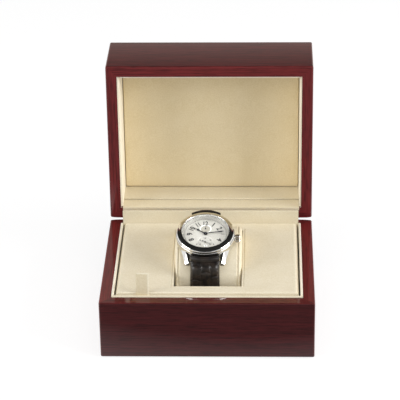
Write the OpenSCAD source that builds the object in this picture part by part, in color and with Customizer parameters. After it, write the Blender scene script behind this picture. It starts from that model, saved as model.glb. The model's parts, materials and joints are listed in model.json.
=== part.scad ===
// Chronometer wristwatch strapped round its pillow, in a lacquered presentation box with the lid open.
// Frame: X to the right, Y towards the hinges, Z up, origin under the middle of the base, millimetres.

/* [Box] */
// Outer width
box_w = 148; // [140:1:170]
// Outer depth, front to hinge side
box_d = 119.5; // [115:0.5:140]
// Height of the base with its felt
base_h = 44; // [42:1:54]
// Height of the lid
lid_h = 48; // [45:1:60]
// Thickness of the wooden walls
wall_t = 8; // [6.5:0.5:9]
// Radius of the upright outer corners
corner_r = 1.2; // [0.5:0.1:3]
// Thickness of the floor board
floor_t = 5; // [3:0.5:6]
// Thickness of the lid's top board
top_t = 8; // [5:0.5:10]
// Thickness of the felt under the base
felt_t = 0.8; // [0.5:0.1:1.5]
// Distance of the felt from the outer faces
felt_inset = 2.5; // [1:0.5:6]
// Gap between the closed rims
close_gap = 0.3; // [0.2:0.1:0.6]
// How far the lid stands open, in degrees
lid_open = 92.3; // [80:0.1:100]

/* [Hinges] */
// Length of one hinge
hinge_l = 26; // [20:1:36]
// Distance of a hinge's middle from the box's end
hinge_in = 28; // [24:1:40]
// Width of a leaf on its rim
leaf_w = 6; // [4.5:0.5:6]
// Thickness of a leaf
leaf_t = 1; // [0.6:0.1:1.4]
// Radius of the knuckles
knuckle_r = 1.7; // [1.4:0.1:2.2]
// Radius of the hinge pin
pin_r = 0.8; // [0.5:0.1:1]
// Distance of the pin behind the box's back face
pin_out = 0.9; // [0.6:0.1:1.2]
// Room round a knuckle in the wood
knuckle_room = 0.4; // [0.3:0.1:0.8]

/* [Lining] */
// Thickness of the base's lining boards
liner_t = 1.6; // [1.2:0.1:2.2]
// Height of the lips above the base's rim
lip_h = 2; // [1:0.5:3]
// Height of the rear lip above the base's rim
back_lip_h = 12.5; // [8:0.5:16]
// Room between a lip and the lid's wall
lip_rebate = 0.3; // [0.2:0.1:0.6]
// Thickness of the lid's lining boards
lid_liner_t = 1.3; // [1:0.1:1.6]
// Room between a lip and the lid's lining
lip_clear = 0.9; // [0.5:0.1:2]
// Depth of the lid's hollow, rim to panel
lid_depth = 33; // [31:0.5:37]
// Gap round the lid's panel
panel_gap = 0.4; // [0.3:0.1:1]

/* [Tray] */
// Gap between the tray and the lining at its two sides
tray_gap = 1.3; // [0.5:0.1:2]
// Gap in front of the tray, where the pull tab stands
tray_front_gap = 1.1; // [1:0.1:2]
// Gap between the tray and the rear lip
tray_back_gap = 0.4; // [0.3:0.1:1]
// Thickness of the padded tray board
tray_t = 4; // [3:0.5:6]
// Height of the tray's face above the base's rim
tray_rise = 2.3; // [1:0.1:3]
// Radius of the tray's rolled side edges
tray_edge_r = 1.6; // [0.8:0.1:2.5]
// Thickness of the well's walls
well_t = 1.4; // [1:0.1:2]
// Room between the pillow and each side of the well
well_side_gap = 0.5; // [0.5:0.1:3]
// Room between the strap and the rear end of the well
well_end_gap = 1.3; // [0.8:0.1:3]
// Width of the pull tab
tab_w = 8.6; // [6:0.2:14]
// Height of the pull tab above the tray
tab_h = 14.5; // [10:0.5:18]
// Thickness of the pull tab
tab_t = 0.8; // [0.4:0.1:0.8]
// Distance of the pull tab's middle from the tray's left edge
tab_in = 18.9; // [10:0.1:30]
// How far the pull tab's tip leans back
tab_lean = 1.8; // [1.6:0.1:4]

/* [Pillow] */
// Width of the pillow, end to end
pillow_w = 47.4; // [42:0.2:50]
// Length of the pillow's oval section
pillow_l = 65; // [60:1:66]
// Height of the pillow's oval section
pillow_h = 40; // [37:1:41]
// Tilt of pillow and watch towards the front, in degrees
pillow_tilt = 15; // [8:0.5:18]
// Place of the pillow's middle behind the well's middle
pillow_y = 3.5; // [0:0.5:4]
// Depth of the pillow's middle under the base's rim
pillow_sink = 4.7; // [4:0.1:6]
// Distance of the sewn seams from the pillow's ends
seam_in = 2.4; // [2:0.1:5]
// Depth of the seam's crease, as a share of the section
seam_draw = 0.035; // [0.01:0.005:0.06]

/* [Watch case] */
// Place of the watch from the box's middle
watch_x = -2; // [-3:0.5:1]
// Radius of the case
case_r = 20.5; // [19.5:0.1:21]
// Height of the case middle's lower edge above the back
case_low = 1.4; // [1:0.1:1.8]
// Height of the case middle's upper edge above the back
case_top = 9; // [8.8:0.1:9.6]
// Height of the dial's face above the back
dial_z = 8; // [7.9:0.1:8.2]
// Wall of the case round the movement
case_wall = 2.9; // [2.6:0.1:3]
// Distance of the spring bars beyond the case
bar_out = 1.1; // [1:0.1:1.8]
// Height of the spring bars above the back
bar_z = 2.8; // [2.6:0.1:3]
// Reach of the lugs beyond the spring bars
lug_tip = 1.7; // [1.5:0.1:2.2]
// Width of a lug at its tip
lug_w = 3.7; // [3:0.1:4.2]
// Room between strap and lug
lug_gap = 0.3; // [0.2:0.05:0.5]
// Height of the bezel
bezel_h = 3.1; // [2.8:0.1:3.4]
// Width of the case and its bezel beside the crystal
bezel_w = 3.5; // [3.3:0.1:3.7]
// Thickness of the crystal
crystal_t = 1.9; // [1.5:0.1:2]
// Width of the flange ring that shows beside the dial
flange_w = 2.2; // [1.6:0.1:2.8]
// Height of the crown's axis above the back
crown_z = 4; // [3.7:0.1:4.3]
// Radius of the crown
crown_r = 3.1; // [2.6:0.1:3.4]
// Length of the crown
crown_l = 3.6; // [3:0.1:4.2]
// Number of flutes round the crown
crown_flutes = 24; // [16:2:32]
// Running fit of turning pieces
run_fit = 0.05; // [0.03:0.01:0.08]

/* [Strap] */
// Width of the strap
strap_w = 20.4; // [18:0.2:21]
// Thickness of the strap
strap_t = 2.4; // [2:0.1:2.6]
// Radius of the padded end round a spring bar
strap_end_r = 2.3; // [2:0.1:2.4]
// Height of the padded end's top above the outside of the watch's back
end_h = 8.6; // [8.2:0.1:8.8]
// Room between strap and pillow
strap_gap = 0.8; // [0.8:0.1:1.2]
// Room between the two layers of the strap
layer_gap = 0.2; // [0.15:0.05:0.4]
// Radius of a spring bar
bar_r = 0.75; // [0.6:0.05:0.85]
// Radius of the buckle's cross bar
buckle_r = 0.9; // [0.7:0.1:1.1]
// Thickness of the buckle's sides
buckle_t = 1.6; // [1.2:0.1:2]
// Thickness of the buckle's tongue
tongue_t = 0.7; // [0.5:0.1:0.8]
// Width of the buckle's tongue
tongue_w = 1.8; // [1.4:0.1:2.2]

/* [Dial and hands] */
// Distance of the small seconds under the dial's middle, as a share of the main plate's radius
seconds_out = 0.5263; // [0.52:0.001:0.54]
// Distance of the reserve's axis above the dial's middle, as a share of the main plate's radius
reserve_out = 0.342; // [0.33:0.001:0.37]
// Radius of the small seconds' sunk face, as a share of the main plate's radius
seconds_size = 0.362; // [0.34:0.002:0.37]
// Radius of the reserve's sunk face, as a share of the main plate's radius
reserve_size = 0.263; // [0.22:0.001:0.265]
// Depth of the sunk faces
sunk_t = 0.12; // [0.08:0.02:0.2]
// Room between the minute hand's tip and the flange ring
minute_gap = 1.6; // [1:0.1:2.8]
// Length of the hour hand, as a share of the minute hand's
hour_share = 0.72; // [0.6:0.01:0.75]
// Angle of the hour hand, clockwise from twelve
hour_angle = 306.7; // [0:0.1:360]
// Angle of the minute hand, clockwise from twelve
minute_angle = 80.5; // [0:0.1:360]
// Angle of the seconds hand, clockwise from twelve
seconds_angle = 120; // [0:1:360]

/* [Movement] */
// Width of the ring round the movement
ring_w = 2.4; // [2.3:0.1:2.7]
// Thickness of the wheels
wheel_t = 0.25; // [0.2:0.01:0.26]
// Module of barrel and centre pinion on a plate of 15.2 mm radius
barrel_module = 0.16; // [0.15:0.005:0.165]
// Module of centre wheel and third pinion on such a plate
centre_module = 0.13; // [0.125:0.001:0.132]
// Module of third wheel and fourth pinion on such a plate
third_module = 0.12; // [0.115:0.001:0.122]
// Module of fourth wheel and escape pinion on such a plate
fourth_module = 0.085; // [0.08:0.001:0.088]
// Radius of the balance wheel, as a share of the main plate's radius
balance_size = 0.283; // [0.25:0.001:0.288]
// Room between the winding rotor's rim and the main plate's
rotor_gap = 0.6; // [0.4:0.1:1.6]

/* [Hidden] */
$fn = 96;
butt = 0.05;
over = 1;
floor_z = felt_t + floor_t;
rim_z = base_h + close_gap;
pin_y = box_d / 2 + pin_out;
pin_z = base_h + close_gap / 2;
hinge_x = box_w / 2 - hinge_in;
hollow_x = box_w / 2 - wall_t;
hollow_y = box_d / 2 - wall_t;
lined_x = hollow_x - liner_t;
lined_y = hollow_y - liner_t;
tray_x = lined_x - tray_gap;
tray_z = base_h + tray_rise;
tab_x = tab_in - tray_x;
lid_top_z = rim_z + lid_h - top_t;

pillow_a = pillow_l / 2;
pillow_b = pillow_h / 2;
pillow_z = base_h - pillow_sink;
seat_gap = 0.3;
back_z = pillow_b + seat_gap;
near_off = strap_gap + strap_t / 2;
far_off = strap_gap + 1.5 * strap_t + layer_gap;
strap_reach = norm([(pillow_a + strap_gap + strap_t) * cos(pillow_tilt),
                    (pillow_b + strap_gap + strap_t) * sin(pillow_tilt)]);
well_w = pillow_w + 2 * well_side_gap;
well_d = 2 * (strap_reach + pillow_y + well_end_gap);

// The strap's course is an oval round the pillow, with angles counted from the rear of the pillow.
bar_angle = 286;
cross_angle = 272;
rise_from = 262;
rise_to = 285;
tip_angle = 328;
function ease(t) = let(c = max(0, min(1, t))) c * c * (3 - 2 * c);
function layer_off(angle) =
    near_off + (far_off - near_off) * ease((angle - rise_from) / (rise_to - rise_from));
function course(angle, off) = [(pillow_a + off) * cos(angle), (pillow_b + off) * sin(angle)];
cross_off = layer_off(cross_angle) + strap_t / 2 + 0.3 + buckle_r;
bar_at = course(bar_angle, near_off);
cross_at = course(cross_angle, cross_off);
tongue_at = course(cross_angle - 1, cross_off + buckle_r + 2 * tongue_t);
well_floor_z = pillow_z - (norm(tongue_at) + tongue_t) * cos(pillow_tilt) - seat_gap;

bore_r = case_r - case_wall;
crystal_r = case_r - bezel_w;
flange_r = crystal_r - flange_w;
minute_l = flange_r - minute_gap;
hour_l = hour_share * minute_l;
bar_y = case_r + bar_out;
lug_y = bar_y + lug_tip;
lug_in = strap_w / 2 + lug_gap;
stem_r = 0.7;
stem_in = 6.8;
tube_r = 1.6;
crown_x = case_r + 0.3;

// The movement is laid out for a plate of 15.2 mm radius, and grows or shrinks in plan with the real one.
plate_r = bore_r - ring_w;
plan = plate_r / 15.2;
barrel_m = plan * barrel_module;
centre_m = plan * centre_module;
third_m = plan * third_module;
fourth_m = plan * fourth_module;
balance_r = balance_size * plate_r;
rotor_r = plate_r - rotor_gap;
seconds_y = seconds_out * plate_r;
reserve_y = reserve_out * plate_r;
seconds_r = seconds_size * plate_r;
reserve_r = reserve_size * plate_r;

// Heights inside the watch, above the outside of its back.
rotor_z = 1.75;
bridge_z = 2.6;
bridge_t = 0.6;
balance_z = 3.45;
centre_z = 4.15;
third_z = 4.6;
fourth_z = 5.05;
barrel_z = 4.55;
escape_z = 4.3;
plate_z = 5.7;
plate_t = 1.1;
works_z = 6.9;
dial_t = 0.4;
small_hand_z = dial_z + 0.15;
hour_hand_z = dial_z + 0.4;
minute_hand_z = dial_z + 0.9;
hand_t = 0.2;

barrel_teeth = 80;
centre_teeth = 80;
third_teeth = 75;
fourth_teeth = 96;
big_leaves = 10;
small_leaves = 8;
escape_teeth = 20;
cannon_teeth = 12;
minute_teeth = 36;
minute_leaves = 10;
hour_teeth = 40;
cannon_m = 0.1;
hour_m = cannon_m * (cannon_teeth + minute_teeth) / (minute_leaves + hour_teeth);

function polar(r, a) = [r * cos(a), r * sin(a)];
function heading(from, to) = atan2(to[1] - from[1], to[0] - from[0]);
function mesh_gap(m, n1, n2) = m * (n1 + n2) / 2;
// The third arbor stands where the two mesh distances from centre and fourth arbor cross.
function crossing(d1, d2, s) = let(y = -(s * s + d1 * d1 - d2 * d2) / (2 * s)) [-sqrt(d1 * d1 - y * y), y];
centre_at = [0, 0];
fourth_at = [0, -seconds_y];
third_at = crossing(mesh_gap(centre_m, centre_teeth, big_leaves),
                    mesh_gap(third_m, third_teeth, big_leaves), seconds_y);
barrel_at = polar(mesh_gap(barrel_m, barrel_teeth, big_leaves), 110);
escape_at = fourth_at + polar(mesh_gap(fourth_m, fourth_teeth, small_leaves), -28);
lever_angle = 41;
escape_r = 2.1 * plan;
pallet_at = escape_at + polar(escape_r + 0.7 * plan, lever_angle);
balance_at = escape_at + polar(escape_r + 4.3 * plan, lever_angle);
minute_at = [mesh_gap(cannon_m, cannon_teeth, minute_teeth), 0];
cock_angle = -62;
cock_at = polar(plate_r - 1.2, cock_angle);
pillar_r = 1;
pillars = [polar(plate_r - 1.5, 200), polar(plate_r - 1.5, 30), polar(plate_r - 1.5, 255)];
pivot_r = 0.22;

wood = [0.36, 0.14, 0.13];
cream = [0.88, 0.83, 0.74];
steel = [0.8, 0.81, 0.83];
brass = [0.79, 0.64, 0.34];
plated = [0.72, 0.72, 0.7];
black = [0.1, 0.09, 0.09];
blued = [0.1, 0.12, 0.2];

module lid_pose() {
    translate([0, pin_y, pin_z]) rotate([-lid_open, 0, 0]) translate([0, -pin_y, -pin_z]) children();
}

module at_pillow(x) {
    translate([x, pillow_y, pillow_z]) rotate([pillow_tilt, 0, 0]) children();
}

module at_watch() {
    at_pillow(watch_x) translate([0, 0, back_z]) children();
}

// A flat outline in Y and Z, drawn out along X.
module along_x(w) {
    rotate([90, 0, 90]) linear_extrude(w, center = true) children();
}

module block(low, high) {
    translate(low) cube(high - low);
}

module box_plan(inset) {
    w = box_w - 2 * inset;
    d = box_d - 2 * inset;
    union() {
        square([w - 2 * corner_r, d], center = true);
        square([w, d - 2 * corner_r], center = true);
        for (x = [-1, 1], y = [-1, 1])
            translate([x * (w / 2 - corner_r), y * (d / 2 - corner_r)]) circle(corner_r);
    }
}

// The front or back board in plan, mitred at both ends.
module long_board(side) {
    intersection() {
        box_plan(0);
        polygon([[-box_w / 2, side * box_d / 2], [box_w / 2, side * box_d / 2],
                 [hollow_x, side * hollow_y], [-hollow_x, side * hollow_y]]);
    }
}

module end_board(side) {
    intersection() {
        box_plan(0);
        polygon([[side * box_w / 2, -box_d / 2], [side * box_w / 2, box_d / 2],
                 [side * hollow_x, hollow_y], [side * hollow_x, -hollow_y]]);
    }
}

module base_wall() {
    color(wood) translate([0, 0, felt_t]) linear_extrude(base_h - felt_t) children();
}

module lid_wall() {
    color(wood) lid_pose() translate([0, 0, rim_z]) linear_extrude(lid_h - top_t) children();
}

// Room for both hinges: the round of the knuckles, and a leaf let in on each rim.
module hinge_room() {
    for (x = [-hinge_x, hinge_x]) translate([x, 0, 0]) {
        translate([0, pin_y, pin_z]) rotate([0, 90, 0])
            cylinder(r = knuckle_r + knuckle_room, h = hinge_l + 2 * knuckle_room, center = true);
        block([-hinge_l / 2, box_d / 2 - leaf_w, base_h - leaf_t],
              [hinge_l / 2, box_d / 2 + over, rim_z + leaf_t]);
    }
}

// The base

module base_front_board() {
    base_wall() long_board(-1);
}

module base_back_board() {
    difference() {
        base_wall() long_board(1);
        hinge_room();
    }
}

module base_left_board() {
    base_wall() end_board(-1);
}

module base_right_board() {
    base_wall() end_board(1);
}

module base_floor() {
    color(wood) block([-hollow_x, -hollow_y, felt_t], [hollow_x, hollow_y, floor_z]);
}

module base_felt() {
    color([0.2, 0.09, 0.09]) linear_extrude(felt_t) box_plan(felt_inset);
}

module base_liner() {
    color(cream) {
        block([butt - lined_x, -hollow_y, floor_z], [lined_x - butt, -lined_y, base_h]);
        block([butt - lined_x, lip_rebate - hollow_y, base_h], [lined_x - butt, -lined_y, base_h + lip_h]);
        for (side = [0, 1]) mirror([side, 0, 0]) {
            block([lined_x, -hollow_y, floor_z], [hollow_x, hollow_y, base_h]);
            block([lined_x, lip_rebate - hollow_y, base_h],
                  [hollow_x - lip_rebate, hollow_y - lip_rebate, base_h + lip_h]);
        }
    }
}

module back_lip() {
    color(cream) {
        block([butt - lined_x, lined_y, floor_z], [lined_x - butt, hollow_y, base_h]);
        block([butt - lined_x, lined_y, base_h], [lined_x - butt, hollow_y - lip_rebate, base_h + back_lip_h]);
    }
}

// The hinges: three knuckles each, the outer two on the base

third_l = hinge_l / 3;
knuckle_gap = 0.15;

module knuckle(x, l, r) {
    translate([x, pin_y, pin_z]) rotate([0, 90, 0]) difference() {
        cylinder(r = knuckle_r, h = l, center = true);
        cylinder(r = r, h = l + 2 * over, center = true);
    }
}

module leaf_link(x, l, r, low) {
    difference() {
        block([x - l / 2, pin_y - knuckle_r - knuckle_room, low], [x + l / 2, pin_y, low + leaf_t]);
        translate([x, pin_y, pin_z]) rotate([0, 90, 0]) cylinder(r = r, h = l + 2 * over, center = true);
    }
}

module leaf_plate(x, low) {
    block([x - hinge_l / 2, box_d / 2 - leaf_w, low],
          [x + hinge_l / 2, pin_y - knuckle_r - knuckle_room, low + leaf_t]);
}

module hinge_base_leaves() {
    color(brass) for (x = [-hinge_x, hinge_x]) {
        leaf_plate(x, base_h - leaf_t);
        for (side = [-1, 1]) {
            l = third_l - knuckle_gap;
            knuckle(x + side * (hinge_l - l) / 2, l, pin_r);
            leaf_link(x + side * (hinge_l - l) / 2, l, pin_r, base_h - leaf_t);
        }
    }
}

module hinge_pins() {
    color(steel) for (x = [-hinge_x, hinge_x])
        translate([x, pin_y, pin_z]) rotate([0, 90, 0]) cylinder(r = pin_r, h = hinge_l, center = true);
}

module hinge_lid_leaves() {
    color(brass) lid_pose() for (x = [-hinge_x, hinge_x]) {
        leaf_plate(x, rim_z);
        knuckle(x, third_l - knuckle_gap, pin_r + run_fit);
        leaf_link(x, third_l - knuckle_gap, pin_r + run_fit, rim_z);
    }
}

// The lid, drawn shut and turned open about the hinge pins

module lid_front_board() {
    lid_wall() long_board(-1);
}

module lid_back_board() {
    color(wood) lid_pose() difference() {
        translate([0, 0, rim_z]) linear_extrude(lid_h - top_t) long_board(1);
        hinge_room();
    }
}

module lid_left_board() {
    lid_wall() end_board(-1);
}

module lid_right_board() {
    lid_wall() end_board(1);
}

module lid_top_board() {
    color(wood) lid_pose() translate([0, 0, lid_top_z]) linear_extrude(top_t) box_plan(0);
}

lid_in_x = hollow_x - lid_liner_t;
lid_in_y = hollow_y - lid_liner_t;

module lid_liner() {
    low = rim_z + lip_h + lip_clear;
    back_low = rim_z + back_lip_h + lip_clear;
    color(cream) lid_pose() {
        block([butt - lid_in_x, -hollow_y, low], [lid_in_x - butt, -lid_in_y, lid_top_z]);
        block([butt - lid_in_x, lid_in_y, back_low], [lid_in_x - butt, hollow_y, lid_top_z]);
        for (side = [0, 1]) mirror([side, 0, 0])
            block([lid_in_x, -hollow_y, low], [hollow_x, hollow_y, lid_top_z]);
    }
}

module lid_panel() {
    color(cream) lid_pose()
        block([panel_gap - lid_in_x, panel_gap - lid_in_y, rim_z + lid_depth],
              [lid_in_x - panel_gap, lid_in_y - panel_gap, lid_top_z]);
}

// The tray and its well, lifted out by the tab

module tray_panel() {
    front_y = tray_front_gap - lined_y;
    back_y = lined_y - tray_back_gap;
    color(cream) difference() {
        translate([0, back_y, tray_z - tray_t]) rotate([90, 0, 0]) linear_extrude(back_y - front_y) union() {
            translate([-tray_x, 0]) square([2 * tray_x, tray_t - tray_edge_r]);
            translate([tray_edge_r - tray_x, 0]) square([2 * (tray_x - tray_edge_r), tray_t]);
            for (side = [-1, 1])
                translate([side * (tray_x - tray_edge_r), tray_t - tray_edge_r]) circle(tray_edge_r);
        }
        block([-well_w / 2, -well_d / 2, 0], [well_w / 2, well_d / 2, tray_z + over]);
    }
}

module well_walls() {
    top = tray_z - tray_t;
    out_x = well_w / 2 + well_t;
    out_y = well_d / 2 + well_t;
    color(cream) for (side = [0, 1]) {
        mirror([side, 0, 0]) block([well_w / 2, -out_y, floor_z], [out_x, out_y, top]);
        mirror([0, side, 0]) block([butt - well_w / 2, well_d / 2, floor_z], [well_w / 2 - butt, out_y, top]);
    }
}

module well_floor() {
    color(cream) block([-well_w / 2, -well_d / 2, floor_z], [well_w / 2, well_d / 2, well_floor_z]);
}

// The ribbon is stuck to the tray's front edge and leans back over the tray.
tab_steps = 10;
tab_low = tray_z - tray_t;
tab_y = tray_front_gap - lined_y;
function tab_point(i, t) = let(u = i / tab_steps)
    [tab_y - t + tab_lean * pow(u, 1.5), tray_z + tab_h * u];

module pull_tab() {
    color(cream) translate([tab_x, 0, 0]) along_x(tab_w)
        polygon(concat([[tab_y - tab_t, tab_low]], [for (i = [0:tab_steps]) tab_point(i, tab_t)],
                       [for (i = [tab_steps:-1:0]) tab_point(i, 0)], [[tab_y, tab_low]]));
}

// The pillow: an oval roll whose ends are drawn in behind a sewn seam

round_steps = 5;
pillow_half = concat(
    [[0, 1], [pillow_w / 2 - 2.4 * seam_in, 1], [pillow_w / 2 - 1.5 * seam_in, 1 - seam_draw / 4],
     [pillow_w / 2 - seam_in, 1 - seam_draw]],
    [for (i = [0:round_steps]) let(a = 90 * i / round_steps)
        [pillow_w / 2 - 0.7 * seam_in * (1 - sin(a)), 1 - seam_draw / 3 - 0.14 * (1 - cos(a))]]);
pillow_rings = concat([for (i = [len(pillow_half) - 1:-1:1]) [-pillow_half[i][0], pillow_half[i][1]]],
                      pillow_half);
pillow_sides = 40;

module watch_pillow() {
    count = len(pillow_rings);
    points = [for (ring = pillow_rings, k = [0:pillow_sides - 1]) let(a = 360 * k / pillow_sides)
        [ring[0], ring[1] * pillow_a * cos(a), ring[1] * pillow_b * sin(a)]];
    sides = [for (i = [0:count - 2], k = [0:pillow_sides - 1])
        let(a = i * pillow_sides + k, b = i * pillow_sides + (k + 1) % pillow_sides)
        [a, a + pillow_sides, b + pillow_sides, b]];
    first = [for (k = [0:pillow_sides - 1]) k];
    last = [for (k = [pillow_sides - 1:-1:0]) (count - 1) * pillow_sides + k];
    color(cream) at_pillow(0) polyhedron(points, concat(sides, [first], [last]));
}

// The strap: each half leaves its spring bar in a curve and then follows the oval round the pillow

leave_angle = 15;
leave_steps = 10;
wrap_step = 4;
function bend(t, p) = pow(1 - t, 3) * p[0] + 3 * t * pow(1 - t, 2) * p[1]
    + 3 * t * t * (1 - t) * p[2] + pow(t, 3) * p[3];
strap_bar = [bar_y, back_z + bar_z];
leave_at = course(leave_angle, near_off);
leave_curve = [strap_bar, strap_bar + [5.6, -3.4], leave_at + [-2.7, 6.4], leave_at];
leaving = [for (i = [0:leave_steps - 1]) bend(i / leave_steps, leave_curve)];
rear_line = concat(leaving, [for (a = [leave_angle:-wrap_step:bar_angle - 360]) course(a, near_off)]);
front_line = concat([for (p = leaving) [-p[0], p[1]]],
                    [for (a = [180 - leave_angle:wrap_step:tip_angle]) course(a, layer_off(a))]);

function half_t(i) = strap_t / 2 + (strap_end_r - 0.2 - strap_t / 2) * (1 - ease(i / leave_steps));
function end_pad(i) = (end_h - bar_z - strap_end_r) * (1 - ease(1.2 * i / leave_steps)) * min(1, 0.3 + 0.35 * i);
function side_of(line, i) = let(
    d = line[min(i + 1, len(line) - 1)] - line[max(i - 1, 0)]) [-d[1], d[0]] / norm(d);

module strap_outline(line, side) {
    last = len(line) - 1;
    polygon(concat([for (i = [0:last]) line[i] + side * side_of(line, i) * (half_t(i) + end_pad(i))],
                   [for (i = [last:-1:0]) line[i] - side * side_of(line, i) * half_t(i)]));
}

// The strap's padded end is curved to fit the case, and rises from the case's side to a roll between the lugs.
module strap_end(side) {
    inner = case_r + 0.35;
    outer = case_r + 4.7;
    translate([0, 0, back_z]) intersection() {
        rotate_extrude() polygon([[inner, bar_z], [outer, bar_z], [outer, end_h - 2.6], [outer - 0.4, end_h - 1],
                                  [outer - 1.2, end_h - 0.2], [outer - 1.8, end_h], [inner + 1.9, end_h - 0.4],
                                  [inner + 0.8, end_h - 1.7], [inner, end_h - 3.3]]);
        block([-strap_w / 2, min(0, side * 2 * case_r), 0], [strap_w / 2, max(0, side * 2 * case_r), end_h + over]);
    }
}

module strap_half(line, side) {
    difference() {
        union() {
            along_x(strap_w) union() {
                strap_outline(line, side);
                translate([side * bar_y, back_z + bar_z]) circle(strap_end_r);
            }
            strap_end(side);
        }
        along_x(strap_w + 2 * over) translate([side * bar_y, back_z + bar_z]) circle(bar_r + run_fit);
    }
}

tongue_heading = heading(bar_at, tongue_at);
tongue_l = norm(tongue_at - bar_at);

module tongue_slot(w, t, l) {
    along_x(w) translate(bar_at) rotate(tongue_heading) translate([0, -t / 2]) square([l, t]);
}

module strap_front() {
    color(black) at_pillow(watch_x) difference() {
        strap_half(front_line, -1);
        tongue_slot(tongue_w + 0.6, 2 * tongue_t, tongue_l + over);
    }
}

module strap_rear() {
    color(black) at_pillow(watch_x) difference() {
        union() {
            strap_half(rear_line, 1);
            along_x(strap_w) translate(bar_at) circle(strap_t / 2 + 0.15);
        }
        along_x(strap_w + 2 * over) translate(bar_at) circle(bar_r + run_fit);
        along_x(tongue_w + 0.6) translate(bar_at) circle(strap_t);
    }
}

keeper_l = 3.4;
keeper_t = 0.45;

module strap_keepers() {
    stack = 2 * strap_t + layer_gap + 0.3;
    color(black) at_pillow(watch_x) for (a = [300, 313]) {
        at = course(a, strap_gap + strap_t + layer_gap / 2);
        along = heading(course(a - 1, near_off), course(a + 1, near_off));
        translate([0, at[0], at[1]]) rotate([along, 0, 0]) difference() {
            cube([strap_w + 0.6 + 2 * keeper_t, keeper_l, stack + 2 * keeper_t], center = true);
            cube([strap_w + 0.6, keeper_l + 2 * over, stack], center = true);
        }
    }
}

buckle_in = strap_w / 2 + 0.4;

module buckle_frame() {
    link = norm(cross_at - bar_at);
    cheek_r = bar_r + 0.6;
    color(steel) at_pillow(watch_x) {
        for (side = [-1, 1]) translate([side * (buckle_in + buckle_t / 2), 0, 0]) difference() {
            along_x(buckle_t) union() {
                translate(bar_at) circle(cheek_r);
                translate(cross_at) circle(cheek_r);
                translate(bar_at) rotate(heading(bar_at, cross_at))
                    translate([0, -cheek_r]) square([link, 2 * cheek_r]);
            }
            along_x(buckle_t + 2 * over) translate(bar_at) circle(bar_r);
        }
        along_x(2 * buckle_in) translate(cross_at) circle(buckle_r);
    }
}

module buckle_tongue() {
    color(steel) at_pillow(watch_x) difference() {
        along_x(tongue_w) union() {
            translate(bar_at) circle(bar_r + 0.5);
            translate(bar_at) rotate(tongue_heading) translate([0, -tongue_t / 2]) square([tongue_l, tongue_t]);
        }
        along_x(tongue_w + 2 * over) translate(bar_at) circle(bar_r + run_fit);
    }
}

tip_r = 0.45;
tip_l = 1;

module spring_bars() {
    color(steel) at_pillow(watch_x) {
        for (side = [-1, 1]) translate([0, side * bar_y, back_z + bar_z]) rotate([0, 90, 0]) {
            cylinder(r = bar_r, h = strap_w, center = true);
            cylinder(r = tip_r, h = 2 * (lug_in + tip_l), center = true);
        }
        along_x(2 * (buckle_in + buckle_t)) translate(bar_at) circle(bar_r);
    }
}

// The watch case

lug_root = 11;
lug_facet = 2.2;
function lug_high(u) = case_top - 0.5 - (case_top - 0.3 - bar_z) * pow(u, 1.6);
function lug_low(u) = case_low + 0.6 - (case_low + 2.8 - bar_z) * pow(u, 1.5);
function lug_at(u) = lug_root + (lug_y - lug_root) * u;
function lug_out(y) = lookup(y, [[lug_root, 0.83 * case_r], [lug_y - 1.6, lug_in + lug_w],
                                 [lug_y - 0.4, lug_in + lug_w - 0.5], [lug_y, lug_in + lug_w - 1.3]]);
lug_shares = concat([for (i = [0:8]) i / 10], [for (d = [1.6, 0.4, 0]) 1 - d / (lug_y - lug_root)]);

// A lug through sections along Y: flat at the inside and on top, with a broad facet sloping to the outside.
module lug() {
    sections = [for (u = lug_shares)
        let(y = lug_at(u), low = lug_low(u), high = lug_high(u), out = lug_out(y),
            facet = min(lug_facet, out - lug_in - 0.4))
        [[lug_in, y, low], [out, y, low], [out, y, 0.4 * high + 0.6 * low], [out - facet, y, high], [lug_in, y, high]]];
    last = 5 * (len(sections) - 1);
    sides = [for (i = [0:len(sections) - 2], k = [0:4]) let(a = 5 * i + k, b = 5 * i + (k + 1) % 5)
        each [[a, b, b + 5], [a, b + 5, a + 5]]];
    polyhedron([for (section = sections) each section],
               concat(sides, [[4, 3, 2, 1, 0]], [[last, last + 1, last + 2, last + 3, last + 4]]));
}

module case_middle() {
    band = 0.25;
    color(steel) at_watch() difference() {
        union() {
            difference() {
                rotate_extrude() polygon([[bore_r - 0.5, case_low], [case_r - 0.8, case_low],
                    [case_r - band, case_low + 0.9], [case_r - band, 3], [case_r, 3], [case_r, case_top - 1.2],
                    [case_r - band, case_top - 1.2], [case_r - band, case_top], [bore_r - 0.5, case_top]]);
                for (side = [-1, 1]) along_x(2 * lug_in)
                    translate([side * bar_y, bar_z]) circle(strap_end_r + lug_gap);
            }
            for (x = [0, 1], y = [0, 1]) mirror([x, 0, 0]) mirror([0, y, 0]) lug();
        }
        translate([0, 0, -over]) cylinder(r = bore_r, h = case_top + 2 * over);
        translate([0, 0, crown_z]) rotate([0, 90, 0]) cylinder(r = tube_r, h = case_r + over);
        for (side = [-1, 1]) translate([0, side * bar_y, bar_z]) rotate([0, 90, 0])
            cylinder(r = tip_r + run_fit, h = 2 * (lug_in + tip_l + 0.1), center = true);
    }
}

// The bezel's face slopes gently down from the crystal, and rolls over to a low upright side.
module bezel() {
    ledge = case_top + bezel_h - crystal_t - 0.4;
    crest = [crystal_r + 0.25, case_top + bezel_h - 0.2];
    slope = 16;
    roll_r = 2.2;
    roll_x = case_r - 0.2 - roll_r;
    roll_from = roll_x + roll_r * sin(slope);
    roll_z = crest[1] - (roll_from - crest[0]) * tan(slope) - roll_r * cos(slope);
    color(steel) at_watch() rotate_extrude()
        polygon(concat([[crystal_r - 0.5, case_top], [case_r - 0.2, case_top]],
                       [for (t = [90, 75, 60, 45, 30, slope]) [roll_x + roll_r * sin(t), roll_z + roll_r * cos(t)]],
                       [crest, [crystal_r + run_fit, crest[1]], [crystal_r + run_fit, ledge],
                        [crystal_r - 0.5, ledge]]));
}

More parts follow.
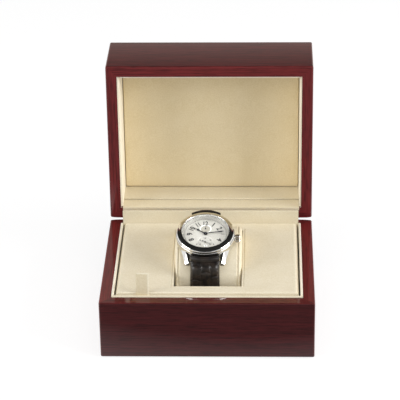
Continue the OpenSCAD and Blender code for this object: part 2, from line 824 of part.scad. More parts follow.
module crystal() {
    low = case_top + bezel_h - crystal_t - 0.4;
    color([0.85, 0.92, 0.95, 0.3]) at_watch() rotate_extrude()
        polygon([[0, low], [crystal_r, low], [crystal_r, low + crystal_t], [crystal_r - 0.4, low + crystal_t + 0.3],
                 [0, low + crystal_t + 0.3]]);
}

module flange_ring() {
    high = case_top + bezel_h - crystal_t - 0.45;
    color(plated) at_watch() rotate_extrude()
        polygon([[flange_r, dial_z], [bore_r, dial_z], [bore_r, case_top], [crystal_r - 0.55, case_top],
                 [crystal_r - 0.55, high], [crystal_r - 0.65, high]]);
}

module dial() {
    color([0.93, 0.92, 0.9]) at_watch() difference() {
        translate([0, 0, dial_z - dial_t]) cylinder(r = bore_r, h = dial_t);
        translate([0, 0, dial_z - 2 * over]) cylinder(r = 1.05, h = 4 * over);
        translate([fourth_at[0], fourth_at[1], dial_z - sunk_t]) cylinder(r = seconds_r, h = over);
        translate([fourth_at[0], fourth_at[1], dial_z - 2 * over]) cylinder(r = 0.5, h = 4 * over);
        translate([0, reserve_y, dial_z - sunk_t]) cylinder(r = reserve_r, h = over);
        translate([0, reserve_y, dial_z - 2 * over]) cylinder(r = 0.5, h = 4 * over);
    }
}

gasket_t = 0.5;
spigot_t = 1.4;

module case_back() {
    color(steel) at_watch() rotate_extrude()
        polygon([[0, 0], [case_r - 3, 0], [case_r - 1.4, case_low - 0.4], [case_r - 1.4, case_low],
                 [bore_r - run_fit, case_low], [bore_r - run_fit, spigot_t + 0.6],
                 [bore_r - 0.8, spigot_t + 0.6], [bore_r - 0.8, spigot_t], [0, spigot_t]]);
}

module case_gasket() {
    color(black) at_watch() translate([0, 0, spigot_t + 0.6]) difference() {
        cylinder(r = bore_r, h = gasket_t);
        translate([0, 0, -over]) cylinder(r = bore_r - 0.8, h = gasket_t + 2 * over);
    }
}

module crown_tube() {
    color(steel) at_watch() translate([bore_r, 0, crown_z]) rotate([0, 90, 0]) difference() {
        cylinder(r = tube_r, h = crown_x - bore_r - 0.1);
        translate([0, 0, -over]) cylinder(r = stem_r + run_fit, h = crown_x);
    }
}

module crown() {
    flute = 0.14;
    color(steel) at_watch() translate([crown_x, 0, crown_z]) rotate([0, 90, 0]) difference() {
        union() {
            linear_extrude(crown_l - 0.5) polygon([for (i = [0:4 * crown_flutes - 1])
                let(r = crown_r - (i % 4 < 2 ? 0 : 2 * flute)) polar(r, 360 * i / (4 * crown_flutes))]);
            translate([0, 0, crown_l - 0.5]) cylinder(r1 = crown_r - 2.5 * flute, r2 = crown_r - 0.9, h = 0.5);
        }
        translate([0, 0, -over]) cylinder(r = stem_r + run_fit, h = over + 1.6);
    }
}

module winding_stem() {
    color(steel) at_watch() translate([stem_in, 0, crown_z]) rotate([0, 90, 0]) union() {
        cylinder(r = stem_r, h = crown_x + 1.5 - stem_in);
        translate([0, 0, 1.4]) linear_extrude(2) polygon(gear(12, 0.18));
    }
}

// The movement: wheels with trapezoid teeth, a tooth pointing along each gear's own zero

function gear(n, m) = [for (i = [0:n - 1], k = [0:3])
    let(r = m * (n / 2 + (k == 0 || k == 3 ? -1.15 : 0.85)), half = 76 / n * [-1.35, -0.45, 0.45, 1.35][k])
    polar(r, 360 * i / n + half)];

module pinion(n, m, z, h, turn) {
    translate([0, 0, z]) rotate(turn) linear_extrude(h) polygon(gear(n, m));
}

// A toothed rim on a hub with straight spokes.
module wheel(n, m, z, turn, spokes, hub) {
    rim = m * n / 2 - 4 * m;
    translate([0, 0, z]) rotate(turn) linear_extrude(wheel_t) union() {
        difference() {
            polygon(gear(n, m));
            circle(rim);
        }
        circle(hub);
        for (i = [0:spokes - 1]) rotate(360 * i / spokes)
            translate([0, -0.3]) square([rim + m, 0.6]);
    }
}

module arbor(low, high, r) {
    translate([0, 0, low]) cylinder(r = r, h = high - low);
}

module place(at) {
    at_watch() translate([at[0], at[1], 0]) children();
}

pivot_low = bridge_z + 0.2;
pivot_high = plate_z + 0.4;
// Teeth of a driver point along the line to the driven arbor, which meets them with a gap.
function driven(n, from, to) = heading(from, to) + 180 + 180 / n;

module barrel() {
    color(brass) place(barrel_at) difference() {
        union() {
            pinion(barrel_teeth, barrel_m, barrel_z + 0.4, 0.4, heading(barrel_at, centre_at));
            arbor(barrel_z, plate_z - 0.15, barrel_m * (barrel_teeth / 2 - 3));
        }
        arbor(barrel_z - over, plate_z + over, 0.8);
    }
}

module centre_wheel() {
    color(brass) place(centre_at) union() {
        pinion(big_leaves, barrel_m, 4.8, 0.7, driven(big_leaves, barrel_at, centre_at));
        wheel(centre_teeth, centre_m, centre_z, heading(centre_at, third_at), 5, 1.2);
        arbor(pivot_low, minute_hand_z - 0.2, 0.28);
    }
}

module third_wheel() {
    color(brass) place(third_at) union() {
        pinion(big_leaves, centre_m, centre_z - 0.05, 0.35, driven(big_leaves, centre_at, third_at));
        wheel(third_teeth, third_m, third_z, heading(third_at, fourth_at), 5, 1.1);
        arbor(pivot_low, pivot_high, pivot_r);
    }
}

module fourth_wheel() {
    color(brass) place(fourth_at) union() {
        pinion(big_leaves, third_m, third_z - 0.05, 0.35, driven(big_leaves, third_at, fourth_at));
        wheel(fourth_teeth, fourth_m, fourth_z, heading(fourth_at, escape_at), 5, 1);
        arbor(pivot_low, small_hand_z, pivot_r);
    }
}

module escape_wheel() {
    color(steel) place(escape_at) union() {
        pinion(small_leaves, fourth_m, fourth_z - 0.05, 0.35, driven(small_leaves, fourth_at, escape_at));
        translate([0, 0, escape_z]) linear_extrude(0.2) union() {
            difference() {
                polygon([for (i = [0:escape_teeth - 1], k = [0:2]) let(a = 360 * i / escape_teeth)
                    polar([1.65, escape_r, 1.65][k], a + [0, 2, 9][k])]);
                circle(1.4);
            }
            circle(0.5);
            for (i = [0:3]) rotate(90 * i) translate([0, -0.15]) square([1.5, 0.3]);
        }
        arbor(pivot_low, pivot_high, pivot_r);
    }
}

module pallet_fork() {
    reach = norm(balance_at - pallet_at);
    color(steel) place(pallet_at) rotate(lever_angle) union() {
        translate([0, 0, escape_z]) linear_extrude(0.25) union() {
            circle(0.5);
            translate([0, -0.15]) square([reach - 1.3, 0.3]);
            translate([-0.25, -1.7]) square([0.5, 3.4]);
            for (side = [-1, 1]) {
                translate([-1.1, side * 1.55 - 0.15]) square([1.1, 0.3]);
                translate([reach - 1.5, side * 0.27 - 0.1]) square([0.5, 0.2]);
            }
            translate([reach - 1.5, -0.37]) square([0.2, 0.74]);
        }
        arbor(escape_z, pivot_high, pivot_r);
    }
}

module balance_wheel() {
    color(brass) place(balance_at) rotate(lever_angle) union() {
        translate([0, 0, balance_z]) linear_extrude(0.6) union() {
            difference() {
                circle(balance_r);
                circle(balance_r - 0.6);
            }
            circle(0.7);
            for (i = [0:2]) rotate(120 * i + 30) translate([0, -0.25]) square([balance_r - 0.3, 0.5]);
        }
        arbor(pivot_low, pivot_high, pivot_r);
        arbor(4.75, 4.95, 0.85);
        translate([-0.68, 0, 0]) arbor(escape_z, 4.8, 0.12);
    }
}

spring_turns = 7;
spring_steps = 140;

module balance_spring() {
    strip = 0.06;
    color(blued) place(balance_at) translate([0, 0, 4.1]) linear_extrude(0.12) polygon(concat(
        [for (i = [0:spring_steps]) polar(0.5 + 2.1 * i / spring_steps, 360 * spring_turns * i / spring_steps)],
        [for (i = [spring_steps:-1:0])
            polar(0.5 + strip + 2.1 * i / spring_steps, 360 * spring_turns * i / spring_steps)]));
}

module main_plate() {
    color(plated) at_watch() difference() {
        union() {
            translate([0, 0, plate_z]) cylinder(r = plate_r, h = plate_t);
            translate([minute_at[0], minute_at[1], plate_z + plate_t]) cylinder(r = 0.3, h = 0.7);
        }
        translate([0, 0, plate_z - over]) cylinder(r = 0.7, h = plate_t + 2 * over);
        for (at = [third_at, fourth_at, escape_at, pallet_at, balance_at, [0, reserve_y]])
            translate([at[0], at[1], plate_z - over]) cylinder(r = pivot_r + run_fit, h = plate_t + 2 * over);
    }
}

// One side of the bridge is cut away for the balance with its cock, and for the winding stem.
module train_bridge() {
    color(plated) at_watch() difference() {
        union() {
            translate([0, 0, bridge_z]) cylinder(r = plate_r - 0.3, h = bridge_t);
            for (at = pillars) translate([at[0], at[1], bridge_z]) cylinder(r = pillar_r, h = plate_z - bridge_z);
            translate([barrel_at[0], barrel_at[1], bridge_z]) cylinder(r = 0.8 - run_fit, h = plate_z - bridge_z);
            translate([0, 0, rotor_z]) cylinder(r = 1, h = bridge_z - rotor_z + 0.1);
        }
        translate([0, 0, bridge_z - over]) linear_extrude(3) polygon(concat([balance_at],
            [for (a = [cock_angle - 4, -30, -5]) polar(plate_r + over, a)]));
        translate([balance_at[0], balance_at[1], bridge_z - over]) cylinder(r = balance_r + 0.8, h = 3);
        translate([cock_at[0], cock_at[1], bridge_z - over]) cylinder(r = pillar_r + 1.2, h = 3);
        block([stem_in - 0.4, balance_at[1] + 1.4, bridge_z - over], [plate_r, 1.7, plate_z]);
        for (at = [centre_at, third_at, fourth_at, escape_at])
            translate([at[0], at[1], pivot_low]) cylinder(r = 0.28 + run_fit, h = 3);
    }
}

module balance_cock() {
    color(plated) at_watch() difference() {
        union() {
            translate([cock_at[0], cock_at[1], bridge_z]) cylinder(r = pillar_r, h = plate_z - bridge_z);
            translate([balance_at[0], balance_at[1], bridge_z]) cylinder(r = 1.2, h = bridge_t);
            translate([cock_at[0], cock_at[1], bridge_z]) rotate(heading(cock_at, balance_at))
                translate([0, -pillar_r, 0]) cube([norm(balance_at - cock_at), 2 * pillar_r, bridge_t]);
        }
        translate([balance_at[0], balance_at[1], pivot_low]) cylinder(r = pivot_r + run_fit, h = 3);
    }
}

module movement_ring() {
    color(brass) at_watch() difference() {
        translate([0, 0, spigot_t + 0.6 + gasket_t]) cylinder(r = bore_r, h = dial_z - dial_t - spigot_t - 0.6 - gasket_t);
        cylinder(r = plate_r, h = case_top);
        translate([0, 0, crown_z]) rotate([0, 90, 0]) cylinder(r = stem_r + 0.4, h = case_r);
    }
}

module winding_rotor() {
    color(brass) at_watch() translate([0, 0, rotor_z]) difference() {
        union() {
            linear_extrude(0.5) intersection() {
                circle(rotor_r);
                translate([-rotor_r, -rotor_r]) square([2 * rotor_r, rotor_r + 1.4]);
            }
            linear_extrude(0.65) intersection() {
                difference() {
                    circle(rotor_r);
                    circle(rotor_r - 3);
                }
                translate([-rotor_r, -rotor_r]) square([2 * rotor_r, rotor_r + 1.4]);
            }
            cylinder(r = 2.2, h = 0.5);
        }
        translate([0, 0, -over]) cylinder(r = 1 + run_fit, h = 3);
    }
}

// The hands and the wheels under the dial that carry them

module cannon_pinion() {
    color(steel) place(centre_at) difference() {
        union() {
            pinion(cannon_teeth, cannon_m, works_z, 0.25, heading(centre_at, minute_at));
            arbor(works_z, minute_hand_z + hand_t + 0.1, 0.45);
        }
        arbor(works_z - over, minute_hand_z + 2 * over, 0.28 + 0.01);
    }
}

module minute_wheel() {
    color(brass) place(minute_at) difference() {
        union() {
            pinion(minute_teeth, cannon_m, works_z + 0.03, 0.17, driven(minute_teeth, centre_at, minute_at));
            pinion(minute_leaves, hour_m, works_z + 0.15, 0.4, heading(minute_at, centre_at));
        }
        arbor(works_z - over, works_z + 2 * over, 0.3 + run_fit / 2);
    }
}

module hour_wheel() {
    color(brass) place(centre_at) difference() {
        union() {
            pinion(hour_teeth, hour_m, works_z + 0.33, 0.2, driven(hour_teeth, minute_at, centre_at));
            arbor(works_z + 0.33, hour_hand_z + hand_t + 0.1, 0.8);
        }
        arbor(works_z - over, minute_hand_z + over, 0.45 + run_fit);
    }
}

// A hand with a boss, a slim arm, a leaf-shaped blade between two shares of its length, and a thin tip.
module hand(length, boss, bore, arm, blade, from, to) {
    middle = 0.4 * from + 0.6 * to;
    right = [[arm / 2, 0], [0.4 * arm, from * length], [blade / 2, middle * length], [arm / 3, to * length],
             [0.08, length]];
    linear_extrude(hand_t) difference() {
        union() {
            circle(boss);
            polygon(concat(right, [for (i = [len(right) - 1:-1:0]) [-right[i][0], right[i][1]]]));
        }
        circle(bore);
    }
}

module hour_hand() {
    color(blued) place(centre_at) translate([0, 0, hour_hand_z]) rotate(-hour_angle)
        hand(hour_l, 1.4, 0.8, 0.7, 1.7, 0.54, 0.8);
}

module minute_hand() {
    color(blued) place(centre_at) translate([0, 0, minute_hand_z]) rotate(-minute_angle)
        hand(minute_l, 1.2, 0.45, 0.6, 1.05, 0.64, 0.95);
}

module seconds_hand() {
    color(blued) place(fourth_at) translate([0, 0, small_hand_z]) rotate(-seconds_angle) linear_extrude(0.15) union() {
        circle(0.5);
        translate([-0.12, -2.2]) square([0.24, 5.8]);
        translate([0, -2.2]) circle(0.45);
    }
}

module reserve_hand() {
    color(blued) place([0, reserve_y]) union() {
        translate([0, 0, small_hand_z]) linear_extrude(0.15) union() {
            circle(0.5);
            polygon([[-0.2, 0], [0.2, 0], [0.05, 3], [-0.05, 3]]);
        }
        arbor(plate_z + 0.3, small_hand_z, pivot_r);
        arbor(works_z + 0.05, works_z + 0.35, 1.9);
    }
}

base_front_board();
base_back_board();
base_left_board();
base_right_board();
base_floor();
base_felt();
base_liner();
back_lip();
hinge_base_leaves();
hinge_pins();
lid_front_board();
lid_back_board();
lid_left_board();
lid_right_board();
lid_top_board();
lid_liner();
lid_panel();
hinge_lid_leaves();
tray_panel();
well_walls();
well_floor();
pull_tab();
watch_pillow();
strap_front();
strap_rear();
strap_keepers();
buckle_frame();
buckle_tongue();
spring_bars();
case_middle();
bezel();
crystal();
flange_ring();
dial();
case_back();
case_gasket();
crown_tube();
movement_ring();
main_plate();
train_bridge();
balance_cock();
winding_stem();
crown();
hour_hand();
hour_wheel();
minute_hand();
cannon_pinion();
minute_wheel();
seconds_hand();
fourth_wheel();
third_wheel();
centre_wheel();
barrel();
escape_wheel();
pallet_fork();
balance_wheel();
balance_spring();
winding_rotor();
reserve_hand();
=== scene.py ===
import json
import math

import bpy
from mathutils import Matrix, Vector


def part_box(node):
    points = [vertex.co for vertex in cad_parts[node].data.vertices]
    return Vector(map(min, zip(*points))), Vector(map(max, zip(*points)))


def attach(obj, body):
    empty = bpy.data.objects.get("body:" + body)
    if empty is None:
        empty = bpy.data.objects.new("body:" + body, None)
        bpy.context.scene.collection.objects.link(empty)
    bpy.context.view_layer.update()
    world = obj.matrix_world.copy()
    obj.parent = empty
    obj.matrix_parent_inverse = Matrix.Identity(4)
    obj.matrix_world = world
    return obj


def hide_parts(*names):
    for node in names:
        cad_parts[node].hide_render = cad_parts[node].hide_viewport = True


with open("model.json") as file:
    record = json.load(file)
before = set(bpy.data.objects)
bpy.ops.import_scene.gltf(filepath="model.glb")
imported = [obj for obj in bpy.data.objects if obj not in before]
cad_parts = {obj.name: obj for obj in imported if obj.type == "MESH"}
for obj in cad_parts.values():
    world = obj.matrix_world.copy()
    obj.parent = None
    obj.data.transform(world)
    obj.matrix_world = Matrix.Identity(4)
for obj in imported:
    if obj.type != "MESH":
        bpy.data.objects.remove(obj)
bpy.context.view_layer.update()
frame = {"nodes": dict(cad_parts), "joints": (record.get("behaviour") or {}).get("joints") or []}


# The base of the box: four mitred boards of dark veneer, glued at the corners, sanded flush and sprayed
# with thick red-brown lacquer that is polished like glass. The outer edges are softly rounded by it.
MM = 0.001
box_w = 148 * MM
box_d = 119.5 * MM
wall = 8 * MM
corner_round = 1.2 * MM
rim_round = 0.9 * MM
foot_round = 0.9 * MM
base_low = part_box("base_front_board")[0].z
base_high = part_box("base_front_board")[1].z
pin = Vector(frame["joints"][0]["pos_m"])
tiny = 1e-6
hinge_x = 46 * MM
trough_r = 2.1 * MM
trough_l = 26.8 * MM
seat_half = 13 * MM
seat_in = 6.9 * MM
seat_out = 1 * MM
seat_t = 1.15 * MM


def linear(text):
    """The linear colour of an sRGB hex value."""
    parts = [int(text[i:i + 2], 16) / 255 for i in (1, 3, 5)]
    return [p / 12.92 if p <= 0.04045 else ((p + 0.055) / 1.055) ** 2.4 for p in parts] + [1]


def set_inputs(tree, node, inputs):
    """Sets or links the inputs of a shader node. A node is linked by its first output."""
    for name, value in inputs.items():
        if isinstance(value, bpy.types.Node):
            value = value.outputs[0]
        if isinstance(value, bpy.types.NodeSocket):
            tree.links.new(value, node.inputs[name])
        else:
            node.inputs[name].default_value = value


def add_node(tree, kind, inputs, **settings):
    """Adds a shader node, sets its options, and sets or links its inputs."""
    made = tree.nodes.new("ShaderNode" + kind)
    for name, value in settings.items():
        setattr(made, name, value)
    set_inputs(tree, made, inputs)
    return made


def new_material(name):
    """A material with its nodes, its Principled node, and the place on the piece in metres."""
    material = bpy.data.materials.new(name)
    material.use_nodes = True
    tree = material.node_tree
    place = add_node(tree, "TexCoord", {}).outputs["Object"]
    return material, tree, tree.nodes["Principled BSDF"], place


def set_ramp(ramp, *stops):
    """Gives a colour ramp its stops, each a place and an sRGB hex value."""
    marks = ramp.color_ramp.elements
    while len(marks) < len(stops):
        marks.new(0.5)
    for mark, (place, text) in zip(marks, stops):
        mark.position = place
        mark.color = linear(text)


def lacquered_veneer(name, turn, dark, middle, light):
    """Polished lacquer over straight-grained veneer: a deep clear coat, streaks about 1 mm wide and fine
    dark pores. turn brings the board's length to the pattern's own X."""
    material, tree, surface, place = new_material(name)
    board = add_node(tree, "Mapping", {"Vector": place, "Rotation": turn})
    streak_way = add_node(tree, "VectorMath", {0: board, 1: (12, 900, 900)}, operation="MULTIPLY")
    streaks = add_node(tree, "TexNoise", {"Vector": streak_way, "Scale": 1, "Detail": 5, "Roughness": 0.6})
    tone = add_node(tree, "ValToRGB", {"Fac": streaks})
    set_ramp(tone, (0.3, dark), (0.47, middle), (0.68, light))
    pore_way = add_node(tree, "VectorMath", {0: board, 1: (90, 1500, 1500)}, operation="MULTIPLY")
    pores = add_node(tree, "TexNoise", {"Vector": pore_way, "Scale": 1, "Detail": 2})
    specks = add_node(tree, "ValToRGB", {"Fac": pores})
    set_ramp(specks, (0.36, "#B4B4B4"), (0.52, "#FFFFFF"))
    colour = add_node(tree, "Mix", {0: 0.75, 6: tone, 7: specks}, data_type="RGBA", blend_type="MULTIPLY")
    set_inputs(tree, surface, {"Base Color": colour.outputs[2], "Roughness": 0.5, "Specular IOR Level": 0.2,
                               "Coat Weight": 1, "Coat Roughness": 0.03, "Coat IOR": 1.45})
    return material


def pick(*pieces):
    """Selects these pieces and no others, and makes the first one active."""
    bpy.ops.object.select_all(action="DESELECT")
    for piece in pieces:
        piece.select_set(True)
    bpy.context.view_layer.objects.active = pieces[0]


def new_block(name, low, high):
    """A cube primitive from one corner to the other, with its place in its mesh."""
    bpy.ops.object.select_all(action="DESELECT")
    low, high = Vector(low), Vector(high)
    bpy.ops.mesh.primitive_cube_add(size=1, location=(low + high) / 2, scale=high - low)
    block = bpy.context.object
    block.name = name
    bpy.ops.object.transform_apply(location=True, rotation=True, scale=True)
    return block


def select_edges(piece, chosen):
    """Goes into edit mode with only those edges selected for which chosen is true of both ends' places."""
    pick(piece)
    bpy.ops.object.mode_set(mode="EDIT")
    bpy.ops.mesh.select_mode(type="EDGE")
    bpy.ops.mesh.select_all(action="DESELECT")
    bpy.ops.object.mode_set(mode="OBJECT")
    points = piece.data.vertices
    for edge in piece.data.edges:
        edge.select = chosen(points[edge.vertices[0]].co, points[edge.vertices[1]].co)
    bpy.ops.object.mode_set(mode="EDIT")


def round_edges(piece, width, segments, chosen):
    """Bevels the edges for which chosen is true of both ends' places."""
    select_edges(piece, chosen)
    bpy.ops.mesh.bevel(offset=width, offset_type="OFFSET", segments=segments, profile=0.5, affect="EDGES")
    bpy.ops.object.mode_set(mode="OBJECT")


def apply_modifier(piece, kind, **settings):
    """Adds a modifier to a piece, sets its options and applies it."""
    pick(piece)
    modifier = piece.modifiers.new(kind.lower(), kind)
    for name, value in settings.items():
        setattr(modifier, name, value)
    bpy.ops.object.modifier_apply(modifier=modifier.name)


def cut_away(piece, cutter):
    """Takes the cutter's shape out of a piece, and the cutter out of the scene."""
    apply_modifier(piece, "BOOLEAN", operation="DIFFERENCE", object=cutter, solver="EXACT")
    bpy.data.objects.remove(cutter)


def smooth(piece, degrees=35):
    """Smooth shading across every edge that is blunter than this angle."""
    pick(piece)
    bpy.ops.object.shade_smooth_by_angle(angle=math.radians(degrees))


def keep_flat(piece):
    """Weighs the shading by area: flat faces mirror like flat ones, and only the rounded edges bend."""
    apply_modifier(piece, "WEIGHTED_NORMAL", keep_sharp=True)


def dress(piece, material, body, node=None):
    """Gives a piece its finish and the body it rides on, and hides the CAD node that it stands for."""
    piece.data.materials.clear()
    piece.data.materials.append(material)
    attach(piece, body)
    if node:
        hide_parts(node)


def upright(a, b):
    """True of an edge that stands straight up."""
    return (a - b).xy.length < tiny


def flat_at(z, a, b):
    """True of an edge that lies at this height."""
    return abs(a.z - z) < tiny and abs(b.z - z) < tiny


def board_ring(name, low, high, rim, foot):
    """Walls round the box between two heights, with the rim at one of them. Their outer edges are rounded,
    but for the rim at the rear, where the hinges are. foot rounds the edge that stands on the table."""
    ring = new_block(name, (-box_w / 2, -box_d / 2, low), (box_w / 2, box_d / 2, high))
    round_edges(ring, corner_round, 5, upright)
    rear = box_d / 2 - tiny
    round_edges(ring, rim_round, 4, lambda a, b: flat_at(rim, a, b) and min(a.y, b.y) < rear)
    if foot:
        round_edges(ring, foot, 4, lambda a, b: flat_at(low, a, b))
    cutter = new_block("hollow", (wall - box_w / 2, wall - box_d / 2, low - wall),
                       (box_w / 2 - wall, box_d / 2 - wall, high + wall))
    cut_away(ring, cutter)
    return ring


def mitred_board(ring, name, side):
    """One wall of the ring, cut off at the mitres in the two corners of its side."""
    board = bpy.data.objects.new(name, ring.data.copy())
    bpy.context.scene.collection.objects.link(board)
    pick(board)
    across = Vector((-side.y, side.x, 0))
    bpy.ops.object.mode_set(mode="EDIT")
    for end in (-1, 1):
        corner = side + end * across
        mitre = Vector((corner.x * box_w / 2, corner.y * box_d / 2, 0))
        bpy.ops.mesh.select_all(action="SELECT")
        bpy.ops.mesh.bisect(plane_co=mitre, plane_no=side - end * across, use_fill=True, clear_inner=True)
    bpy.ops.object.mode_set(mode="OBJECT")
    smooth(board)
    return board


def hinge_room():
    """Room in the wood for both hinges: a round trough for the knuckles, and a seat for each leaf."""
    for x in (-hinge_x, hinge_x):
        bpy.ops.object.select_all(action="DESELECT")
        bpy.ops.mesh.primitive_cylinder_add(vertices=32, radius=trough_r, depth=trough_l,
                                            location=(x, pin.y, pin.z), rotation=(0, math.pi / 2, 0))
        trough = bpy.context.object
        bpy.ops.object.transform_apply(location=True, rotation=True, scale=True)
        leaf_seat = new_block("leaf_seat", (x - seat_half, pin.y - seat_in, pin.z - seat_t),
                              (x + seat_half, pin.y + seat_out, pin.z + seat_t))
        yield trough
        yield leaf_seat


def paint_face_shade(board, veneer, toward):
    """Gives the faces of a board that look this way a darker copy of the veneer: painted shade."""
    board.data.materials.append(veneer)
    for face in board.data.polygons:
        face.material_index = 1 if face.normal.dot(toward) > 0.8 else 0


# One lacquered veneer in several tones. The base's front face takes the darkest of them: painted shade.
RED_VENEER = ("#47130F", "#561818", "#631D1D")
# The base's side boards take a lighter copy of the veneer: painted light.
LIT_SIDE_VENEER = ("#571617", "#691D1C", "#782422")
SHADED_FRONT_VENEER = ("#3B1113", "#451517", "#4F181B")
grain_x = lacquered_veneer("lacquered_veneer_long", (0, 0, 0), *RED_VENEER)
lit_side_grain = lacquered_veneer("lacquered_veneer_short_painted_light", (0, 0, math.pi / 2), *LIT_SIDE_VENEER)
shaded_face_grain = lacquered_veneer("lacquered_veneer_front_painted_shade", (0, 0, 0), *SHADED_FRONT_VENEER)
SIDES = {"front": Vector((0, -1, 0)), "back": Vector((0, 1, 0)),
         "left": Vector((-1, 0, 0)), "right": Vector((1, 0, 0))}


def wall_boards(ring, body, long_grain, lit_short_grain, shaded_face_grain, toward, settle=None):
    """Cuts a ring into its four boards, the rear one with room for the hinges. On the front one, the face
    that looks this way takes a darker copy of the veneer, painted shade. settle moves each board from the
    ring to its place."""
    for side_name, side in SIDES.items():
        board = mitred_board(ring, f"lacquered_{body}_{side_name}", side)
        if side_name == "back":
            for cutter in hinge_room():
                cut_away(board, cutter)
            smooth(board)
        keep_flat(board)
        if settle:
            settle(board)
        grain = lit_short_grain if side.x else long_grain
        dress(board, grain, body, f"{body}_{side_name}_board")
        if side_name == "front":
            paint_face_shade(board, shaded_face_grain, toward)
    bpy.data.objects.remove(ring)


base_ring = board_ring("base_ring", base_low, base_high, base_high, foot_round)
wall_boards(base_ring, "base", grain_x, lit_side_grain, shaded_face_grain, SIDES["front"])


# The floor board of the base and the felt glued under it: plain veneered board, and short wine-red felt
# that keeps the box from scratching a table. Both lie flat, so the CAD solids only take their finish.
def mottled(name, scale, detail, dark, light, rough):
    """A material in two tones that noise mottles. Gives back its nodes and the noise too."""
    material, tree, surface, place = new_material(name)
    patches = add_node(tree, "TexNoise", {"Vector": place, "Scale": scale, "Detail": detail})
    tone = add_node(tree, "ValToRGB", {"Fac": patches})
    set_ramp(tone, (0.3, dark), (0.7, light))
    set_inputs(tree, surface, {"Base Color": tone, "Roughness": rough})
    return material, tree, surface, patches


def wool_felt(name, dark, light):
    """Short felt: a deep matt colour, a pile of fine fibres, and a faint sheen along the edges."""
    material, tree, surface, fibres = mottled(name, 2500, 4, dark, light, 0.95)
    pile = add_node(tree, "Bump", {"Height": fibres, "Strength": 0.6, "Distance": 0.0003})
    set_inputs(tree, surface, {"Normal": pile, "Sheen Weight": 0.3})
    return material


def finish_node(node, material):
    """Gives a CAD node's solid its finish."""
    frame["nodes"][node].data.materials.clear()
    frame["nodes"][node].data.materials.append(material)


finish_node("base_felt", wool_felt("wine_red_felt", "#1E090A", "#3A1416"))
finish_node("base_floor", grain_x)


# The lining of the base: thin boards wrapped in cream leatherette and slipped in behind the walls. Their
# rounded tops stand above the rim as lips, and the rear one is tall and shows behind the tray.
def leatherette(name, light, shade, grain=1200):
    """Cream leatherette: coated cloth with an embossed pebble grain, a soft low gloss and faint clouds of
    tone. The real pebble of 0.4 mm is drawn about twice as coarse, so that it shows in the render."""
    material, tree, surface, place = new_material(name)
    pebble = add_node(tree, "TexVoronoi", {"Vector": place, "Scale": grain}, feature="SMOOTH_F1")
    clouds = add_node(tree, "TexNoise", {"Vector": place, "Scale": 70, "Detail": 3})
    flecks = add_node(tree, "TexNoise", {"Vector": place, "Scale": grain, "Detail": 2})
    mottle = add_node(tree, "Mix", {0: 0.7, 2: clouds, 3: flecks}, data_type="FLOAT")
    tone = add_node(tree, "ValToRGB", {"Fac": mottle})
    set_ramp(tone, (0.36, shade), (0.64, light))
    emboss = add_node(tree, "Bump", {"Height": pebble, "Strength": 0.25, "Distance": 0.0002})
    set_inputs(tree, surface, {"Base Color": tone, "Normal": emboss, "Roughness": 0.55,
                               "Specular IOR Level": 0.35})
    return material


cream = leatherette("cream_leatherette", "#EDE3CC", "#E3D7BB")
# The rear pieces of the lining take a darker copy of the cream: painted shade.
shaded_rear_cream = leatherette("cream_leatherette_rear_painted_shade", "#DED4BC", "#D5C9AC")
# The side lips and the lid's front and side linings take a lighter copy of the cream: painted light.
lit_cream = leatherette("cream_leatherette_painted_light", "#F9F2E2", "#F1E8D2")
hollow_x = box_w / 2 - wall
hollow_y = box_d / 2 - wall
lining = 1.6 * MM
lip_top = base_high + 2 * MM
front_lip_top = base_high + 0.9 * MM
back_lip_top = base_high + 12.5 * MM
lip_in = 0.3 * MM
lip_wider = 0.35 * MM
lip_round = 0.6 * MM
front_lip_round = 0.5 * MM
butt = 0.05 * MM
lining_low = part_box("base_liner")[0].z
lined_x = hollow_x - lining
lined_y = hollow_y - lining
lip_x = hollow_x - lip_in
lip_y = hollow_y - lip_in
lip_inner = lined_x - lip_wider
lip_end = lip_inner - butt
lip_front = lined_y - butt


def lined_board(name, low, high, edge_z, rounded):
    """A thin board wrapped in leatherette: a block with its edges at one height rounded."""
    board = new_block(name, low, high)
    round_edges(board, rounded, 4, lambda a, b: flat_at(edge_z, a, b))
    smooth(board)
    return board


# The front lip is in the plain cream, the side lips in the lighter copy, painted light, and the rear lip in
# the darker copy, painted shade.
LIPS = (
    ("front_lip", (-lip_x, -lip_y), (lip_x, -lined_y), front_lip_top, front_lip_round, "base_liner", cream),
    ("left_lip", (-lip_x, -lip_front), (-lip_inner, lip_y), lip_top, lip_round, "base_liner", lit_cream),
    ("right_lip", (lip_inner, -lip_front), (lip_x, lip_y), lip_top, lip_round, "base_liner", lit_cream),
    ("rear_lip", (-lip_end, lined_y), (lip_end, lip_y), back_lip_top, lip_round, "back_lip", shaded_rear_cream))
for lip_name, low, high, top, rounded, node, cover in LIPS:
    lip = lined_board(lip_name, (*low, lining_low), (*high, top), top, rounded)
    dress(lip, cover, "base", node)


# The two hinges: rolled and polished brass leaves, let into the rims at the rear and screwed there, with a
# plain steel pin through the knuckles. The CAD solids are exact, so they only take their finish.
def turned_metal(name, text, rough, rings):
    """Bare metal with a fine tool finish: streaks of changing gloss, too fine to see one by one."""
    material, tree, surface, place = new_material(name)
    way = add_node(tree, "VectorMath", {0: place, 1: (300, 4000, 4000)}, operation="MULTIPLY")
    lines = add_node(tree, "TexNoise", {"Vector": way, "Scale": 1, "Detail": 2})
    gloss = add_node(tree, "MapRange", {"Value": lines, "From Min": 0.3, "From Max": 0.7,
                                        "To Min": rough * 0.7, "To Max": rough * 1.4})
    cuts = add_node(tree, "Bump", {"Height": lines, "Strength": rings, "Distance": 0.00005})
    set_inputs(tree, surface, {"Base Color": linear(text), "Metallic": 1, "Roughness": gloss,
                               "Normal": cuts})
    return material


